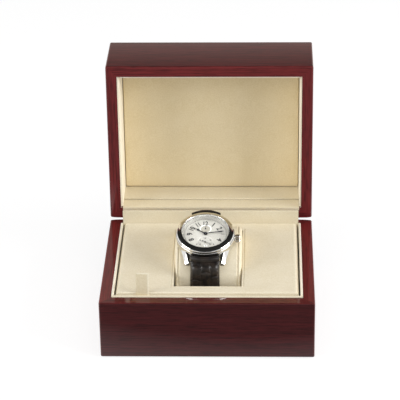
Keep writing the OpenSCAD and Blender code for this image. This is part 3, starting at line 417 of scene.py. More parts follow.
hinge_brass = turned_metal("polished_brass", "#D9B56A", 0.16, 0.1)
ground_steel = turned_metal("ground_steel", "#C9CBD0", 0.25, 0.2)
finish_node("hinge_base_leaves", hinge_brass)
finish_node("hinge_lid_leaves", hinge_brass)
finish_node("hinge_pins", ground_steel)


# The lid: four mitred boards with a top board glued on, veneered and lacquered like the base. It is made
# here as it lies when shut, and then turned open about the hinge pins.
lid_open = math.radians(92.3)
rim_z = base_high + 0.3 * MM
lid_wall_top = rim_z + 40 * MM
lid_top = rim_z + 48 * MM
opened = Matrix.Translation(pin) @ Matrix.Rotation(-lid_open, 4, "X") @ Matrix.Translation(-pin)
front_when_open = Vector((0, 0, 1))


def open_up(piece):
    """Turns a piece of the shut lid to where it stands open, with its place in its mesh."""
    pick(piece)
    piece.matrix_world = opened
    bpy.ops.object.transform_apply(location=True, rotation=True, scale=True)


# The lid takes a lighter copy of the veneer, painted light. The face that looks up when the lid stands open
# takes the base's darker tone, painted shade.
LIT_LID_VENEER = ("#53181A", "#641F20", "#722627")
lid_lit_grain_x = lacquered_veneer("lacquered_veneer_lid_long_painted_light", (lid_open, 0, 0), *LIT_LID_VENEER)
lid_lit_grain_y = lacquered_veneer("lacquered_veneer_lid_short_painted_light", (lid_open, 0, math.pi / 2), *LIT_LID_VENEER)
lid_shaded_face_grain = lacquered_veneer("lacquered_veneer_lid_front_painted_shade", (lid_open, 0, 0), *RED_VENEER)
lid_ring = board_ring("lid_ring", rim_z, lid_wall_top, rim_z, 0)
wall_boards(lid_ring, "lid", lid_lit_grain_x, lid_lit_grain_y, lid_shaded_face_grain, front_when_open, open_up)
lid_top_board = new_block("lacquered_lid_top", (-box_w / 2, -box_d / 2, lid_wall_top),
                          (box_w / 2, box_d / 2, lid_top))
round_edges(lid_top_board, corner_round, 5, upright)
round_edges(lid_top_board, rim_round, 4, lambda a, b: flat_at(lid_top, a, b))
smooth(lid_top_board)
keep_flat(lid_top_board)
open_up(lid_top_board)
dress(lid_top_board, lid_lit_grain_x, "lid", "lid_top_board")
paint_face_shade(lid_top_board, lid_shaded_face_grain, front_when_open)


# The lid's lining: four thin boards in the same leatherette, and a padded panel set in between them with a
# hairline gap all round. The front and side boards take a lighter copy of it, painted light, the rear ones
# a darker copy, painted shade, and the panel a darker, yellower one, painted shade. The boards stop short
# of the rim, where the base's lips fit in when the lid is shut. At the sides and the rear only their thin
# cover runs on to the rim, and at the rear round its edge.
# The panel takes a darker, yellower copy of the cream: painted shade, with painted warm light thrown back
# by the lining round it.
shaded_panel_cream = leatherette("cream_leatherette_panel_painted_shade", "#EBDCBA", "#E2D1AA")
lid_lining = 1.3 * MM
lid_in_x = hollow_x - lid_lining
lid_in_y = hollow_y - lid_lining
lid_end = lid_in_x - butt
front_low = rim_z + 0.9 * MM
side_low = rim_z + 2.1 * MM
rear_low = rim_z + 13.4 * MM
edge_round = 0.45 * MM
cover_t = 0.2 * MM
cover_round = 0.05 * MM
rear_cover_t = 0.12 * MM
rear_cover_round = 0.04 * MM
rear_turned = 1.85 * MM
panel_low = rim_z + 33 * MM
panel_gap = 0.4 * MM
panel_round = 0.8 * MM
panel_crown = 0.7 * MM
LID_LINING = (
    ("lid_lining_front", (-lid_end, -hollow_y, front_low), (lid_end, -lid_in_y, lid_wall_top),
     edge_round, lit_cream),
    ("lid_lining_rear", (-lid_end, lid_in_y, rear_low), (lid_end, hollow_y, lid_wall_top),
     edge_round, shaded_rear_cream),
    ("lid_left_cover", (-hollow_x, -hollow_y, rim_z), (cover_t - hollow_x, hollow_y, side_low),
     cover_round, lit_cream),
    ("lid_right_cover", (hollow_x - cover_t, -hollow_y, rim_z), (hollow_x, hollow_y, side_low),
     cover_round, lit_cream),
    ("lid_rear_cover", (-lid_end, hollow_y - rear_cover_t, rim_z + cover_t), (lid_end, hollow_y, rear_low),
     rear_cover_round, shaded_rear_cream),
    ("lid_rear_turnover", (-lid_end, hollow_y - rear_cover_t, rim_z - rear_cover_t),
     (lid_end, hollow_y + rear_turned, rim_z), rear_cover_round, shaded_rear_cream),
    ("lid_lining_left", (-hollow_x, -hollow_y, side_low), (-lid_in_x, hollow_y, lid_wall_top),
     edge_round, lit_cream),
    ("lid_lining_right", (lid_in_x, -hollow_y, side_low), (hollow_x, hollow_y, lid_wall_top),
     edge_round, lit_cream))
for board_name, low, high, rounded, cover in LID_LINING:
    board = lined_board(board_name, low, high, low[2], rounded)
    open_up(board)
    dress(board, cover, "lid", "lid_liner")
panel = new_block("lid_padded_panel", (panel_gap - lid_in_x, panel_gap - lid_in_y, panel_low),
                  (lid_in_x - panel_gap, lid_in_y - panel_gap, lid_wall_top))
round_edges(panel, panel_round, 4, lambda a, b: flat_at(panel_low, a, b))
pick(panel)
bpy.ops.object.mode_set(mode="EDIT")
bpy.ops.mesh.select_all(action="SELECT")
bpy.ops.mesh.subdivide(number_cuts=24)
bpy.ops.object.mode_set(mode="OBJECT")
for point in panel.data.vertices:
    if point.co.z < panel_low + panel_round + 0.1 * MM:
        across, along = point.co.x / lid_in_x, point.co.y / lid_in_y
        point.co.z -= panel_crown * (1 - across ** 4) * (1 - along ** 4)
smooth(panel)
open_up(panel)
dress(panel, shaded_panel_cream, "lid", "lid_panel")


# The tray: a thin board, padded and wrapped in leatherette, that lifts out by its tab. Its two sides are
# rolled, and round the well in its middle the cover is turned in over a narrow rolled frame.
tray_low, tray_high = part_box("tray_panel")
well_low, well_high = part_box("well_floor")
frame_w = 1.7 * MM
turned_in = 0.7 * MM
frame_left = well_low.x - frame_w + turned_in
frame_right = well_high.x + frame_w - turned_in
frame_front = well_low.y - frame_w
frame_back = well_high.y + frame_w
frame_top = tray_high.z - 0.1 * MM
side_roll = 3.4 * MM
end_roll = 0.6 * MM
well_roll = 0.45 * MM
frame_roll = 0.8 * MM
sides_beyond = 60 * MM
ends_beyond = 45 * MM
well_within = 30 * MM


def on_side(a, b):
    """True of the tray's long upper edges at its two sides."""
    return flat_at(tray_high.z, a, b) and abs(a.x - b.x) < tiny and abs(a.x) > sides_beyond


def on_end(a, b):
    """True of the tray's upper edges at its front and rear."""
    return flat_at(tray_high.z, a, b) and abs(a.y - b.y) < tiny and abs(a.y) > ends_beyond


def on_well(a, b):
    """True of the upper edges round the well."""
    return flat_at(tray_high.z, a, b) and max(abs(a.x), abs(b.x)) < well_within


tray = new_block("padded_tray", tray_low, tray_high)
cut_away(tray, new_block("well_cut", (frame_left, frame_front, 0), (frame_right, frame_back, 1)))
round_edges(tray, side_roll, 10, on_side)
round_edges(tray, end_roll, 4, on_end)
round_edges(tray, well_roll, 3, on_well)
smooth(tray)
well_frame = new_block("rolled_well_frame", (frame_left, frame_front, tray_low.z),
                       (frame_right, frame_back, frame_top))
cut_away(well_frame, new_block("well_cut", (well_low.x + turned_in, well_low.y, 0),
                               (well_high.x - turned_in, well_high.y, 1)))
round_edges(well_frame, frame_roll, 5, lambda a, b: flat_at(frame_top, a, b))
smooth(well_frame)
for cover in (tray, well_frame):
    dress(cover, cream, "tray", "tray_panel")
finish_node("well_walls", cream)
finish_node("well_floor", cream)


# The pull tab: a stiff strip of leatherette, folded double and stuck to the tray's front edge, that leans
# back a little. Its face takes a darker copy of the cream, painted shade, and a band on the right and at
# the top a paler one, a painted highlight on its lit edges. The tray is lifted out by it.
tab_low, tab_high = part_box("pull_tab")
tab_t = 0.8 * MM
tab_lean = 1.8 * MM
highlight_band = 1.1 * MM
tab_edge = 0.18 * MM


def loft(name, columns, rows, place):
    """A grid primitive whose points all move to place(u, v): u round or across the piece, v along it."""
    bpy.ops.object.select_all(action="DESELECT")
    bpy.ops.mesh.primitive_grid_add(x_subdivisions=columns, y_subdivisions=rows, size=1)
    piece = bpy.context.object
    piece.name = name
    for point in piece.data.vertices:
        point.co = place(point.co.x + 0.5, point.co.y + 0.5)
    return piece


def tab_place(u, v):
    """A point of the tab's front: u runs across it, v up it."""
    foot = tray_high.z
    z = tab_low.z + (tab_high.z - tab_low.z) * v
    lean = tab_lean * max(0, (z - foot) / (tab_high.z - foot)) ** 1.5
    return Vector((tab_low.x + (tab_high.x - tab_low.x) * u, tray_low.y - tab_t + lean, z))


tab = loft("leatherette_pull_tab", 16, 32, tab_place)
apply_modifier(tab, "SOLIDIFY", thickness=tab_t, offset=-1)
apply_modifier(tab, "BEVEL", width=tab_edge, segments=3, limit_method="ANGLE")
smooth(tab)
dress(tab, leatherette("tab_leatherette_painted_shade", "#E7DABD", "#DDCFAD"), "tray", "pull_tab")
# The band on the right and at the top is a painted highlight.
tab.data.materials.append(leatherette("tab_edge_painted_highlight", "#F3EAD4", "#EADFC4"))
for face in tab.data.polygons:
    in_highlight = face.center.x > tab_high.x - highlight_band or face.center.z > tab_high.z - highlight_band / 2
    face.material_index = 1 if in_highlight else 0


# The pillow: an oval roll of foam in soft leatherette, filled tight. A seam near each end draws the cover
# in, the end beyond it is piped, and the cover puckers a little along the seams.
tilt = math.radians(15)
pillow_at = Vector((0, 3.5, 39.3)) * MM
pillow_a = 32.5 * MM
pillow_b = 20 * MM
pillow_half = 23.1 * MM
seam_x = pillow_half - 2.4 * MM
seam_w = 0.5 * MM
seam_d = 0.8 * MM
seam_fade = 0.42 * MM
pucker_d = 0.12 * MM
pucker_fade = 2.5 * MM
pucker_count = 34
piping_r = 1.7 * MM
end_flat = 0.3 * MM
swell = 0.5 * MM
filling_force = 4
filling_frames = 20
watch_x = -2 * MM
strap_w = 20.4 * MM
merge_within = 1e-7
tilted = Matrix.Translation(pillow_at) @ Matrix.Rotation(tilt, 4, "X")


def pillow_place(u, v):
    """A point of the slack pillow: u runs round its oval, v from end to end, closest near the ends."""
    x = -pillow_half * math.cos(math.pi * v)
    angle = 2 * math.pi * u
    roll = max(0, 1 - (pillow_half - abs(x)) / piping_r)
    size = 1 - swell / pillow_b - 0.1 * (1 - math.sqrt(max(0, 1 - roll * roll)))
    return tilted @ Vector((x, size * pillow_a * math.cos(angle), size * pillow_b * math.sin(angle)))


def merge_seam(piece):
    """Merges the points of a piece that lie on each other, and stays in edit mode with all selected."""
    pick(piece)
    bpy.ops.object.mode_set(mode="EDIT")
    bpy.ops.mesh.select_mode(type="VERT")
    bpy.ops.mesh.select_all(action="SELECT")
    bpy.ops.mesh.remove_doubles(threshold=merge_within)


def close_up(piece):
    """Merges the seam of a lofted piece, fills its open ends, and turns all its faces outwards."""
    merge_seam(piece)
    bpy.ops.mesh.select_all(action="DESELECT")
    bpy.ops.mesh.select_non_manifold()
    bpy.ops.mesh.edge_face_add()
    bpy.ops.mesh.select_all(action="SELECT")
    bpy.ops.mesh.normals_make_consistent(inside=False)
    bpy.ops.object.mode_set(mode="OBJECT")


def fill_end(piece, x):
    """Sews an end into a lofted tube: its open edge at this X is filled with an even grid of faces."""
    select_edges(piece, lambda a, b: abs(a.x - x) < tiny and abs(b.x - x) < tiny)
    bpy.ops.mesh.fill_grid(span=40)
    bpy.ops.object.mode_set(mode="OBJECT")


def held_down(place):
    """True of a point of the cover that the strap or a seam holds."""
    return abs(place.x - watch_x) < strap_w / 2 or abs(seam_x - abs(place.x)) < seam_w


def pump_up(piece, held, most):
    """Fills a padded cover by cloth simulation: pressure swells it, its held points stay, and none moves
    further than most."""
    slack = [point.co.copy() for point in piece.data.vertices]
    sewn = piece.vertex_groups.new(name="sewn_down")
    sewn.add([i for i, place in enumerate(slack) if held(place)], 1, "REPLACE")
    pick(piece)
    filling = piece.modifiers.new("filling", "CLOTH")
    filling.settings.vertex_group_mass = sewn.name
    filling.settings.use_pressure = True
    filling.settings.uniform_pressure_force = filling_force
    filling.settings.effector_weights.gravity = 0
    for step in range(1, filling_frames + 1):
        bpy.context.scene.frame_set(step)
    bpy.ops.object.modifier_apply(modifier=filling.name)
    bpy.context.scene.frame_set(1)
    moves = [point.co - place for point, place in zip(piece.data.vertices, slack)]
    for point, place, move in zip(piece.data.vertices, slack, moves):
        point.co = place + move * (most / max(most, move.length))
    piece.vertex_groups.clear()


def sewn_in(piece):
    """Draws the pillow's seams in, with the puckers that the thread gives the cover beside them."""
    upright_back = tilted.inverted()
    for point in piece.data.vertices:
        place = upright_back @ point.co
        from_seam = seam_x - abs(place.x)
        angle = math.atan2(place.z / pillow_b, place.y / pillow_a)
        groove = seam_d * math.exp(-(from_seam / seam_fade) ** 2)
        wave = math.sin(pucker_count * angle + 3 * math.sin(5 * angle))
        pucker = pucker_d * math.exp(-(from_seam / pucker_fade) ** 2) * wave
        out = Vector((0, math.cos(angle) / pillow_a, math.sin(angle) / pillow_b)).normalized()
        if abs(place.x) < pillow_half - end_flat:
            point.co = tilted @ (place + out * (pucker - groove))


pillow = loft("leatherette_pillow", 160, 80, pillow_place)
merge_seam(pillow)
bpy.ops.object.mode_set(mode="OBJECT")
fill_end(pillow, -pillow_half)
fill_end(pillow, pillow_half)
close_up(pillow)
pump_up(pillow, held_down, swell)
apply_modifier(pillow, "SUBSURF", levels=1, render_levels=1)
sewn_in(pillow)
smooth(pillow, 60)
soft_cream = leatherette("soft_cream_leatherette", "#F6ECD4", "#ECE0C3", 1400)
dress(pillow, soft_cream, "pillow", "watch_pillow")


# The watch case: middle with its four lugs, bezel, screwed back and crown, turned or milled from steel and
# polished like a mirror, every edge broken a little. Copies of the CAD solids get those edges. The bezel,
# the band's rounded shoulder and the lobed crown are made here, so that they mirror without facets.
back_z = 20.3 * MM
case_r = 20.5 * MM
case_top = 9 * MM
crystal_r = 17 * MM
watch = tilted @ Matrix.Translation((watch_x, 0, back_z))


def polished_steel(name, text, rough):
    """Mirror-polished steel: smooth reflections, with hairline scratches that only show in the gloss."""
    material, tree, surface, place = new_material(name)
    hairs = add_node(tree, "TexNoise", {"Vector": place, "Scale": 900, "Detail": 5})
    gloss = add_node(tree, "MapRange", {"Value": hairs, "From Min": 0.3, "From Max": 0.7,
                                        "To Min": rough * 0.6, "To Max": rough * 1.5})
    set_inputs(tree, surface, {"Base Color": linear(text), "Metallic": 1, "Roughness": gloss})
    return material


def finished_copy(node, name, broken, degrees=30):
    """A copy of a CAD solid, merged to one mesh, with its sharp edges broken and its curves smooth."""
    piece = bpy.data.objects.new(name, frame["nodes"][node].data.copy())
    bpy.context.scene.collection.objects.link(piece)
    pick(piece)
    bpy.ops.object.mode_set(mode="EDIT")
    bpy.ops.mesh.select_all(action="SELECT")
    bpy.ops.mesh.remove_doubles(threshold=tiny)
    bpy.ops.mesh.dissolve_limited(angle_limit=math.radians(0.3))
    bpy.ops.object.mode_set(mode="OBJECT")
    apply_modifier(piece, "BEVEL", width=broken, segments=2, limit_method="ANGLE",
                   angle_limit=math.radians(degrees))
    smooth(piece, degrees)
    return piece


def turned_ring(name, profile, at):
    """A ring spun from a profile of radii and heights, about an axis of the watch at this place."""
    bpy.ops.object.select_all(action="DESELECT")
    bpy.ops.mesh.primitive_circle_add(vertices=len(profile), radius=MM, fill_type="NOTHING")
    ring = bpy.context.object
    ring.name = name
    for point, (r, z) in zip(ring.data.vertices, profile):
        point.co = (r, 0, z)
    pick(ring)
    bpy.ops.object.mode_set(mode="EDIT")
    bpy.ops.mesh.select_all(action="SELECT")
    bpy.ops.mesh.spin(steps=120, angle=2 * math.pi, center=(0, 0, 0), axis=(0, 0, 1))
    bpy.ops.mesh.select_all(action="SELECT")
    bpy.ops.mesh.remove_doubles(threshold=merge_within)
    bpy.ops.mesh.normals_make_consistent(inside=False)
    bpy.ops.object.mode_set(mode="OBJECT")
    ring.data.transform(watch @ Matrix.Translation(at))
    smooth(ring, 30)
    return ring


def rounded_corner(r, z, wide, high, start, end, steps):
    """Points of a profile round a centre, from one angle off the vertical to another."""
    angles = [start + (end - start) * i / steps for i in range(steps + 1)]
    return [(r + wide * math.sin(t), z + high * math.cos(t)) for t in angles]


def polish_node(node, name, broken, degrees):
    """Puts a mirror-polished copy of a CAD solid in its place."""
    dress(finished_copy(node, name, broken, degrees), steel, "pillow", node)


steel = polished_steel("mirror_polished_steel", "#E4E3E0", 0.07)
bezel_out = case_r - 0.2 * MM
bezel_foot = crystal_r - 0.5 * MM
bezel_bore = crystal_r - 0.35 * MM
seat_z = case_top + 0.8 * MM
crest_r = crystal_r - 0.15 * MM
crest_z = case_top + 2.95 * MM
bezel_slope = math.radians(20.5)
bezel_roll = 1.5 * MM
roll_r = bezel_out - bezel_roll
slope_r = roll_r + bezel_roll * math.sin(bezel_slope)
roll_z = crest_z - (slope_r - crest_r) * math.tan(bezel_slope) - bezel_roll * math.cos(bezel_slope)
bezel_profile = [(bezel_foot, case_top), (bezel_out - 0.15 * MM, case_top),
                 (bezel_out, case_top + 0.12 * MM)]
bezel_profile += rounded_corner(roll_r, roll_z, bezel_roll, bezel_roll, math.pi / 2, bezel_slope, 24)
bezel_profile += [(crest_r, crest_z), (crystal_r - 0.28 * MM, crest_z - 0.01 * MM),
                  (bezel_bore, crest_z - 0.1 * MM), (bezel_bore, seat_z), (bezel_foot, seat_z)]
bezel = turned_ring("polished_bezel", bezel_profile, (0, 0, 0))
dress(bezel, steel, "pillow", "bezel")
band_in = case_r - 0.6 * MM
shoulder_r = case_r - 0.22 * MM
shoulder_w = 0.5 * MM
shoulder_h = 1.38 * MM
shoulder_z = case_top - 1.4 * MM
band_profile = [(band_in, case_top - 0.02 * MM)]
band_profile += rounded_corner(shoulder_r, shoulder_z, shoulder_w, shoulder_h, 0, math.pi / 2, 12)
band_profile += [(case_r + 0.28 * MM, case_top - 2.6 * MM), (case_r + 0.1 * MM, case_top - 3.6 * MM),
                 (band_in, case_top - 3.8 * MM)]
band = turned_ring("polished_band", band_profile, (0, 0, 0))
dress(band, steel, "pillow", "case_middle")
polish_node("case_middle", "polished_case", 0.12 * MM, 25)
polish_node("case_back", "polished_back", 0.1 * MM, 20)
crown_at = Vector((case_r + 0.3 * MM, 0, 4 * MM))
crown_lobes = 12
# The crown's profile in millimetres: the radius, and the place along the stem. Its lobes are cut by lobe_d
# where the radius is more than lobed_from.
lobe_d = 0.5
lobed_from = 2.3
CROWN_PROFILE = ((0, 1.6), (0.8, 1.6), (0.8, 0), (2.7, 0), (2.95, 0.12), (3.1, 0.45), (3.1, 1.2), (3.1, 2),
                 (3.1, 2.75), (2.95, 3.15), (2.65, 3.4), (2.2, 3.52), (1.4, 3.6), (0, 3.6))


def crown_place(u, v):
    """A point of the crown: u runs round its lobes, v from its bore over its side to its outer face."""
    r, along = CROWN_PROFILE[round(v * (len(CROWN_PROFILE) - 1))]
    angle = 2 * math.pi * u
    if r > lobed_from:
        r -= lobe_d * (1 - abs(math.cos(crown_lobes * angle / 2)))
    return watch @ (crown_at + Vector((along, r * math.cos(angle), r * math.sin(angle))) * MM)


crown = loft("fluted_crown", 144, len(CROWN_PROFILE) - 1, crown_place)
close_up(crown)
smooth(crown, 35)
satin_steel = polished_steel("satin_polished_steel", "#FBF4E9", 0.16)
dress(crown, satin_steel, "crown", "crown")
for node in ("spring_bars", "crown_tube", "winding_stem"):
    finish_node(node, ground_steel)


# The buckle: a bent steel frame and its tongue, polished like the case. They are copies of the CAD solids
# with their edges broken, and the strap goes through them below the pillow.
polish_node("buckle_frame", "polished_buckle", 0.15 * MM, 30)
polish_node("buckle_tongue", "polished_tongue", 0.1 * MM, 30)


# The strap: two halves of black hide with large square scales, padded, lined and sewn along both sides.
# Each half leaves its spring bar, bends over the pillow and follows its oval round to the buckle below.
strap_t = 2.4 * MM
strap_end_r = 2.3 * MM
strap_tip = 9 * MM
padded_from = 4.6 * MM
padded_to = 21.5 * MM
padding_d = 3.5 * MM
groove_d = 0.65 * MM
bar_at = Vector((21.6, 23.1)) * MM
near_off = 2 * MM
far_off = 4.6 * MM
joins_at = 15
lap_from = 262
lap_turn = 23
front_to = 329
rear_to = -75
strap_frame = tilted @ Matrix.Translation((watch_x, 0, 0))


def grained_hide(name, light, dark):
    """Black dyed hide, glazed: a soft satin gloss, fine creases inside each scale, worn browner on top."""
    material, tree, surface, place = new_material(name)
    creases = add_node(tree, "TexVoronoi", {"Vector": place, "Scale": 1300}, feature="DISTANCE_TO_EDGE")
    wear = add_node(tree, "TexNoise", {"Vector": place, "Scale": 260, "Detail": 3})
    tone = add_node(tree, "ValToRGB", {"Fac": wear})
    set_ramp(tone, (0.4, dark), (0.68, light))
    gloss = add_node(tree, "MapRange", {"Value": wear, "From Min": 0.3, "From Max": 0.7,
                                        "To Min": 0.42, "To Max": 0.26})
    relief = add_node(tree, "Bump", {"Height": creases, "Strength": 0.3, "Distance": 0.0002})
    set_inputs(tree, surface, {"Base Color": tone, "Roughness": gloss, "Normal": relief})
    return material


def eased(t):
    """A soft step from 0 to 1."""
    t = max(0, min(1, t))
    return t * t * (3 - 2 * t)


def course(degrees, off):
    """A point of the oval at this distance outside the pillow, in the pillow's own Y and Z."""
    angle = math.radians(degrees)
    return Vector(((pillow_a + off) * math.cos(angle), (pillow_b + off) * math.sin(angle)))


def layer_off(degrees):
    """How far outside the pillow the front half runs: it rises over the other half at the buckle."""
    return near_off + (far_off - near_off) * eased((degrees - lap_from) / lap_turn)


def leaving(t):
    """The curve in which a half leaves its bar and joins the oval."""
    end = course(joins_at, near_off)
    p, q, r, s = bar_at, bar_at + Vector((5.6, -3.4)) * MM, end + Vector((-2.7, 6.4)) * MM, end
    return (1 - t) ** 3 * p + 3 * t * (1 - t) ** 2 * q + 3 * t * t * (1 - t) * r + t ** 3 * s


def line_point(line, s):
    """The point of a line at a distance along it, and the way the line goes there."""
    for a, b in zip(line, line[1:]):
        step = (b - a).length
        if s <= step or b is line[-1]:
            way = (b - a) / step
            return a + way * s, way
        s -= step


# Three columns of scales, in millimetres: the left edge, the pitch, and the place of the first groove. The
# grooves between them are a narrow crease in a broad dip, and wave a little.
SCALE_COLUMNS = ((-10.2, 9.6, 3.1), (-2.4, 11.2, 7.4), (4.0, 8.8, 1.2))
crease_part = 0.6
crease_w = 0.45
dip_w = 1.8
column_wave = 0.35
row_wave = 0.6


def groove(off):
    """How deep a groove is at this distance from its middle, from 0 to 1."""
    crease = math.exp(-(off / crease_w) ** 2)
    dip = math.exp(-(off / dip_w) ** 2)
    return crease_part * crease + (1 - crease_part) * dip


def scale_groove(x, s):
    """How deep the grooves between the scales are here, across and along the strap in millimetres."""
    deep = 0
    column = 0
    for i, (left, _, _) in enumerate(SCALE_COLUMNS):
        edge = left + column_wave * math.sin(0.4 * s + 2 * i)
        if x > edge:
            column = i
        if i:
            deep = max(deep, groove(x - edge))
    _, pitch, first = SCALE_COLUMNS[column]
    row = (s - first + row_wave * math.sin(0.7 * x + column)) / pitch
    return max(deep, groove((row - round(row)) * pitch))


def bar_end(s):
    """Half the strap's thickness, which grows towards the round end at the bar."""
    return strap_t / 2 + (strap_end_r - strap_t / 2) * (1 - eased(max(0, s) / padded_to))


def strap_top(s, across):
    """How far the strap's upper face stands off its middle line: a padded roll, thinner at its edges."""
    padding = (1 - eased(1.2 * max(0, s) / padded_to)) * (0.3 + 0.7 * eased(s / padded_from))
    half = bar_end(s) + padding_d * padding
    if s < 0:
        half *= math.sqrt(max(0, 1 - (s / strap_end_r) ** 2))
    return half * (1 - abs(across) ** 8) ** 0.5 - (0.25 + 0.7 * padding) * MM * abs(across) ** 3


def strap_half(name, line, outward, tapered):
    """Half the strap, lofted round its section and along its line: domed and scaled on top, flat below."""
    length = sum((b - a).length for a, b in zip(line, line[1:]))

    def place(u, v):
        s = -strap_end_r + v * (length + strap_end_r)
        over = u < 0.5
        across = (4 * u - 1) if over else (3 - 4 * u)
        at, way = line_point(line, max(0, s))
        at = at + way * min(0, s)
        side = Vector((-way.y, way.x)) * outward
        below = math.sqrt(max(0, strap_end_r ** 2 - s * s)) if s < 0 else bar_end(s)
        tip = max(0, 1 - (length - s) / strap_tip) if tapered else 0
        x = across * strap_w / 2 * math.sqrt(1 - 0.96 * tip * tip)
        high = -below * (1 - abs(across) ** 8) ** 0.5
        if over:
            inside = eased((1 - abs(across)) * 5)
            high = strap_top(s, across) - groove_d * inside * scale_groove(x / MM, s / MM)
        at = at + side * high
        return strap_frame @ Vector((x, at.x, at.y))

    half = loft(name, 140, 260, place)
    close_up(half)
    smooth(half, 60)
    return half


def on_strap(line, outward, s, x, high):
    """A place on the strap, turned to lie along it."""
    at, way = line_point(line, s)
    side = Vector((-way.y, way.x)) * outward
    at = at + side * high
    turned = Matrix(((1, 0, 0, x), (0, way.x, side.x, at.x), (0, way.y, side.y, at.y), (0, 0, 0, 1)))
    return strap_frame @ turned


def laid_copies(name, model, places):
    """One mesh of many copies of a model, each at its own place. The model itself goes."""
    copies = []
    for place in places:
        copied = bpy.data.objects.new(name, model.data.copy())
        copied.data.transform(place)
        bpy.context.scene.collection.objects.link(copied)
        copies.append(copied)
    bpy.data.objects.remove(model)
    pick(*copies)
    bpy.ops.object.join()
    joined = bpy.context.object
    joined.name = name
    smooth(joined, 60)
    return joined


def new_stitch():
    """One stitch of waxed thread: a short round bar with rounded ends, lying along Y."""
    bpy.ops.object.select_all(action="DESELECT")
    bpy.ops.mesh.primitive_cylinder_add(vertices=8, radius=0.2 * MM, depth=1.9 * MM,
                                        rotation=(math.pi / 2, 0, 0))
    stitch = bpy.context.object
    bpy.ops.object.transform_apply(location=True, rotation=True, scale=True)
    round_edges(stitch, 0.13 * MM, 2, lambda a, b: abs(a.y - b.y) < merge_within)
    return stitch


hide = grained_hide("black_scaled_hide", "#352D27", "#191513")
thread = grained_hide("waxed_black_thread", "#5A5148", "#3A332D")
leave_steps = 24
sewn_from = 6 * MM
sewn_to = 42 * MM
stitch_pitch = 2.7 * MM
stitch_x = 8.9 * MM
stitch_across = 0.87
stitch_sunk = 0.05 * MM
leave_line = [leaving(i / leave_steps) for i in range(leave_steps)]
front_line = [Vector((-1, 1)) * point for point in leave_line]
front_line += [course(a, layer_off(a)) for a in range(180 - joins_at, front_to)]
rear_line = leave_line + [course(a, near_off) for a in range(joins_at, rear_to, -1)]
for half_name, line, outward in (("front", front_line, -1), ("rear", rear_line, 1)):
    half = strap_half(f"scaled_strap_{half_name}", line, outward, half_name == "front")
    dress(half, hide, "pillow", f"strap_{half_name}")
    places = []
    for i in range(int((sewn_to - sewn_from) / stitch_pitch)):
        s = sewn_from + i * stitch_pitch
        high = strap_top(s, stitch_across) - stitch_sunk
        places += [on_strap(line, outward, s, side * stitch_x, high) for side in (-1, 1)]
    dress(laid_copies(f"strap_stitches_{half_name}", new_stitch(), places), thread, "pillow")


# The strap's raised ends: where the hide is folded over the padding it is curved to the case, and stands
# high between the lugs. Each is part of its half of the strap.
end_in = case_r + 0.35 * MM
end_out = case_r + 4.7 * MM
end_crest_r = case_r + 2.7 * MM
end_shoulder_z = 5.3 * MM
end_drop = 2.5 * MM
end_fall = 0.9 * MM
END_RISE = {"front": 3.3 * MM, "rear": 4.2 * MM}


def end_place(side, rise):
    """Gives the function that places a point of a raised end: u runs round its section, which rises
    straighter at the case, and v across the strap."""
    def place(u, v):
        angle = math.pi - 2 * math.pi * u
        out, up = math.cos(angle), math.sin(angle)
        power = 1.4 if out < 0 else 1
        reach = end_crest_r - end_in if out < 0 else end_out - end_crest_r
        r = end_crest_r + math.copysign(reach * abs(out) ** power, out)
        across = 2 * v - 1
        x = across * strap_w / 2
        z = end_shoulder_z - end_drop * abs(up)
        if up > 0:
            z = end_shoulder_z + (rise - end_fall * abs(across) ** 2.5) * up ** power
        return watch @ Vector((x, side * math.sqrt(r * r - x * x), z))
    return place


for half_name, side in (("front", -1), ("rear", 1)):
    raised = loft(f"raised_strap_end_{half_name}", 64, 48, end_place(side, END_RISE[half_name]))
    close_up(raised)
    smooth(raised, 50)
    dress(raised, hide, "pillow", f"strap_{half_name}")


# The two keepers that hold the strap's tip: narrow loops of the same hide, glued at the inside. They are
# copies of the CAD solids with their edges rubbed round.
keepers = finished_copy("strap_keepers", "hide_keepers", 0.18 * MM)
dress(keepers, hide, "pillow", "strap_keepers")


# The movement: brass plates and wheels, gilt or plated after cutting, and steel arbors, all hidden in the
# case below the dial. The CAD solids are exact, so they only take the finish of each metal.
def gilt_metal(name, text, rough):
    """Gilt or plated brass with a fine matt grain left by the plating: small soft sparkles, no lines."""
    material, tree, surface, place = new_material(name)
    grain = add_node(tree, "TexNoise", {"Vector": place, "Scale": 5000, "Detail": 2})
    gloss = add_node(tree, "MapRange", {"Value": grain, "To Min": rough * 0.7, "To Max": rough * 1.3})
    frost = add_node(tree, "Bump", {"Height": grain, "Strength": 0.15, "Distance": 0.00003})
    set_inputs(tree, surface, {"Base Color": linear(text), "Metallic": 1, "Roughness": gloss,
                               "Normal": frost})
    return material


def striped_plate(name):
    """Plated bridges with straight ribbed stripes 1.6 mm wide, ground in before plating: bands of gloss."""
    material, tree, surface, place = new_material(name)
    stripes = add_node(tree, "TexWave", {"Vector": place, "Scale": 196, "Distortion": 0},
                       bands_direction="X").outputs["Fac"]
    tone = add_node(tree, "ValToRGB", {"Fac": stripes})
    set_ramp(tone, (0.1, "#B9BABD"), (0.9, "#D2D3D6"))
    ribs = add_node(tree, "Bump", {"Height": stripes, "Strength": 0.2, "Distance": 0.0001})
    set_inputs(tree, surface, {"Base Color": tone, "Metallic": 1, "Roughness": 0.28, "Normal": ribs})
    return material


def moulded_rubber(name):
    """Black gasket rubber: matt, with a faint grey bloom."""
    return mottled(name, 1500, 3, "#141414", "#242424", 0.7)[0]


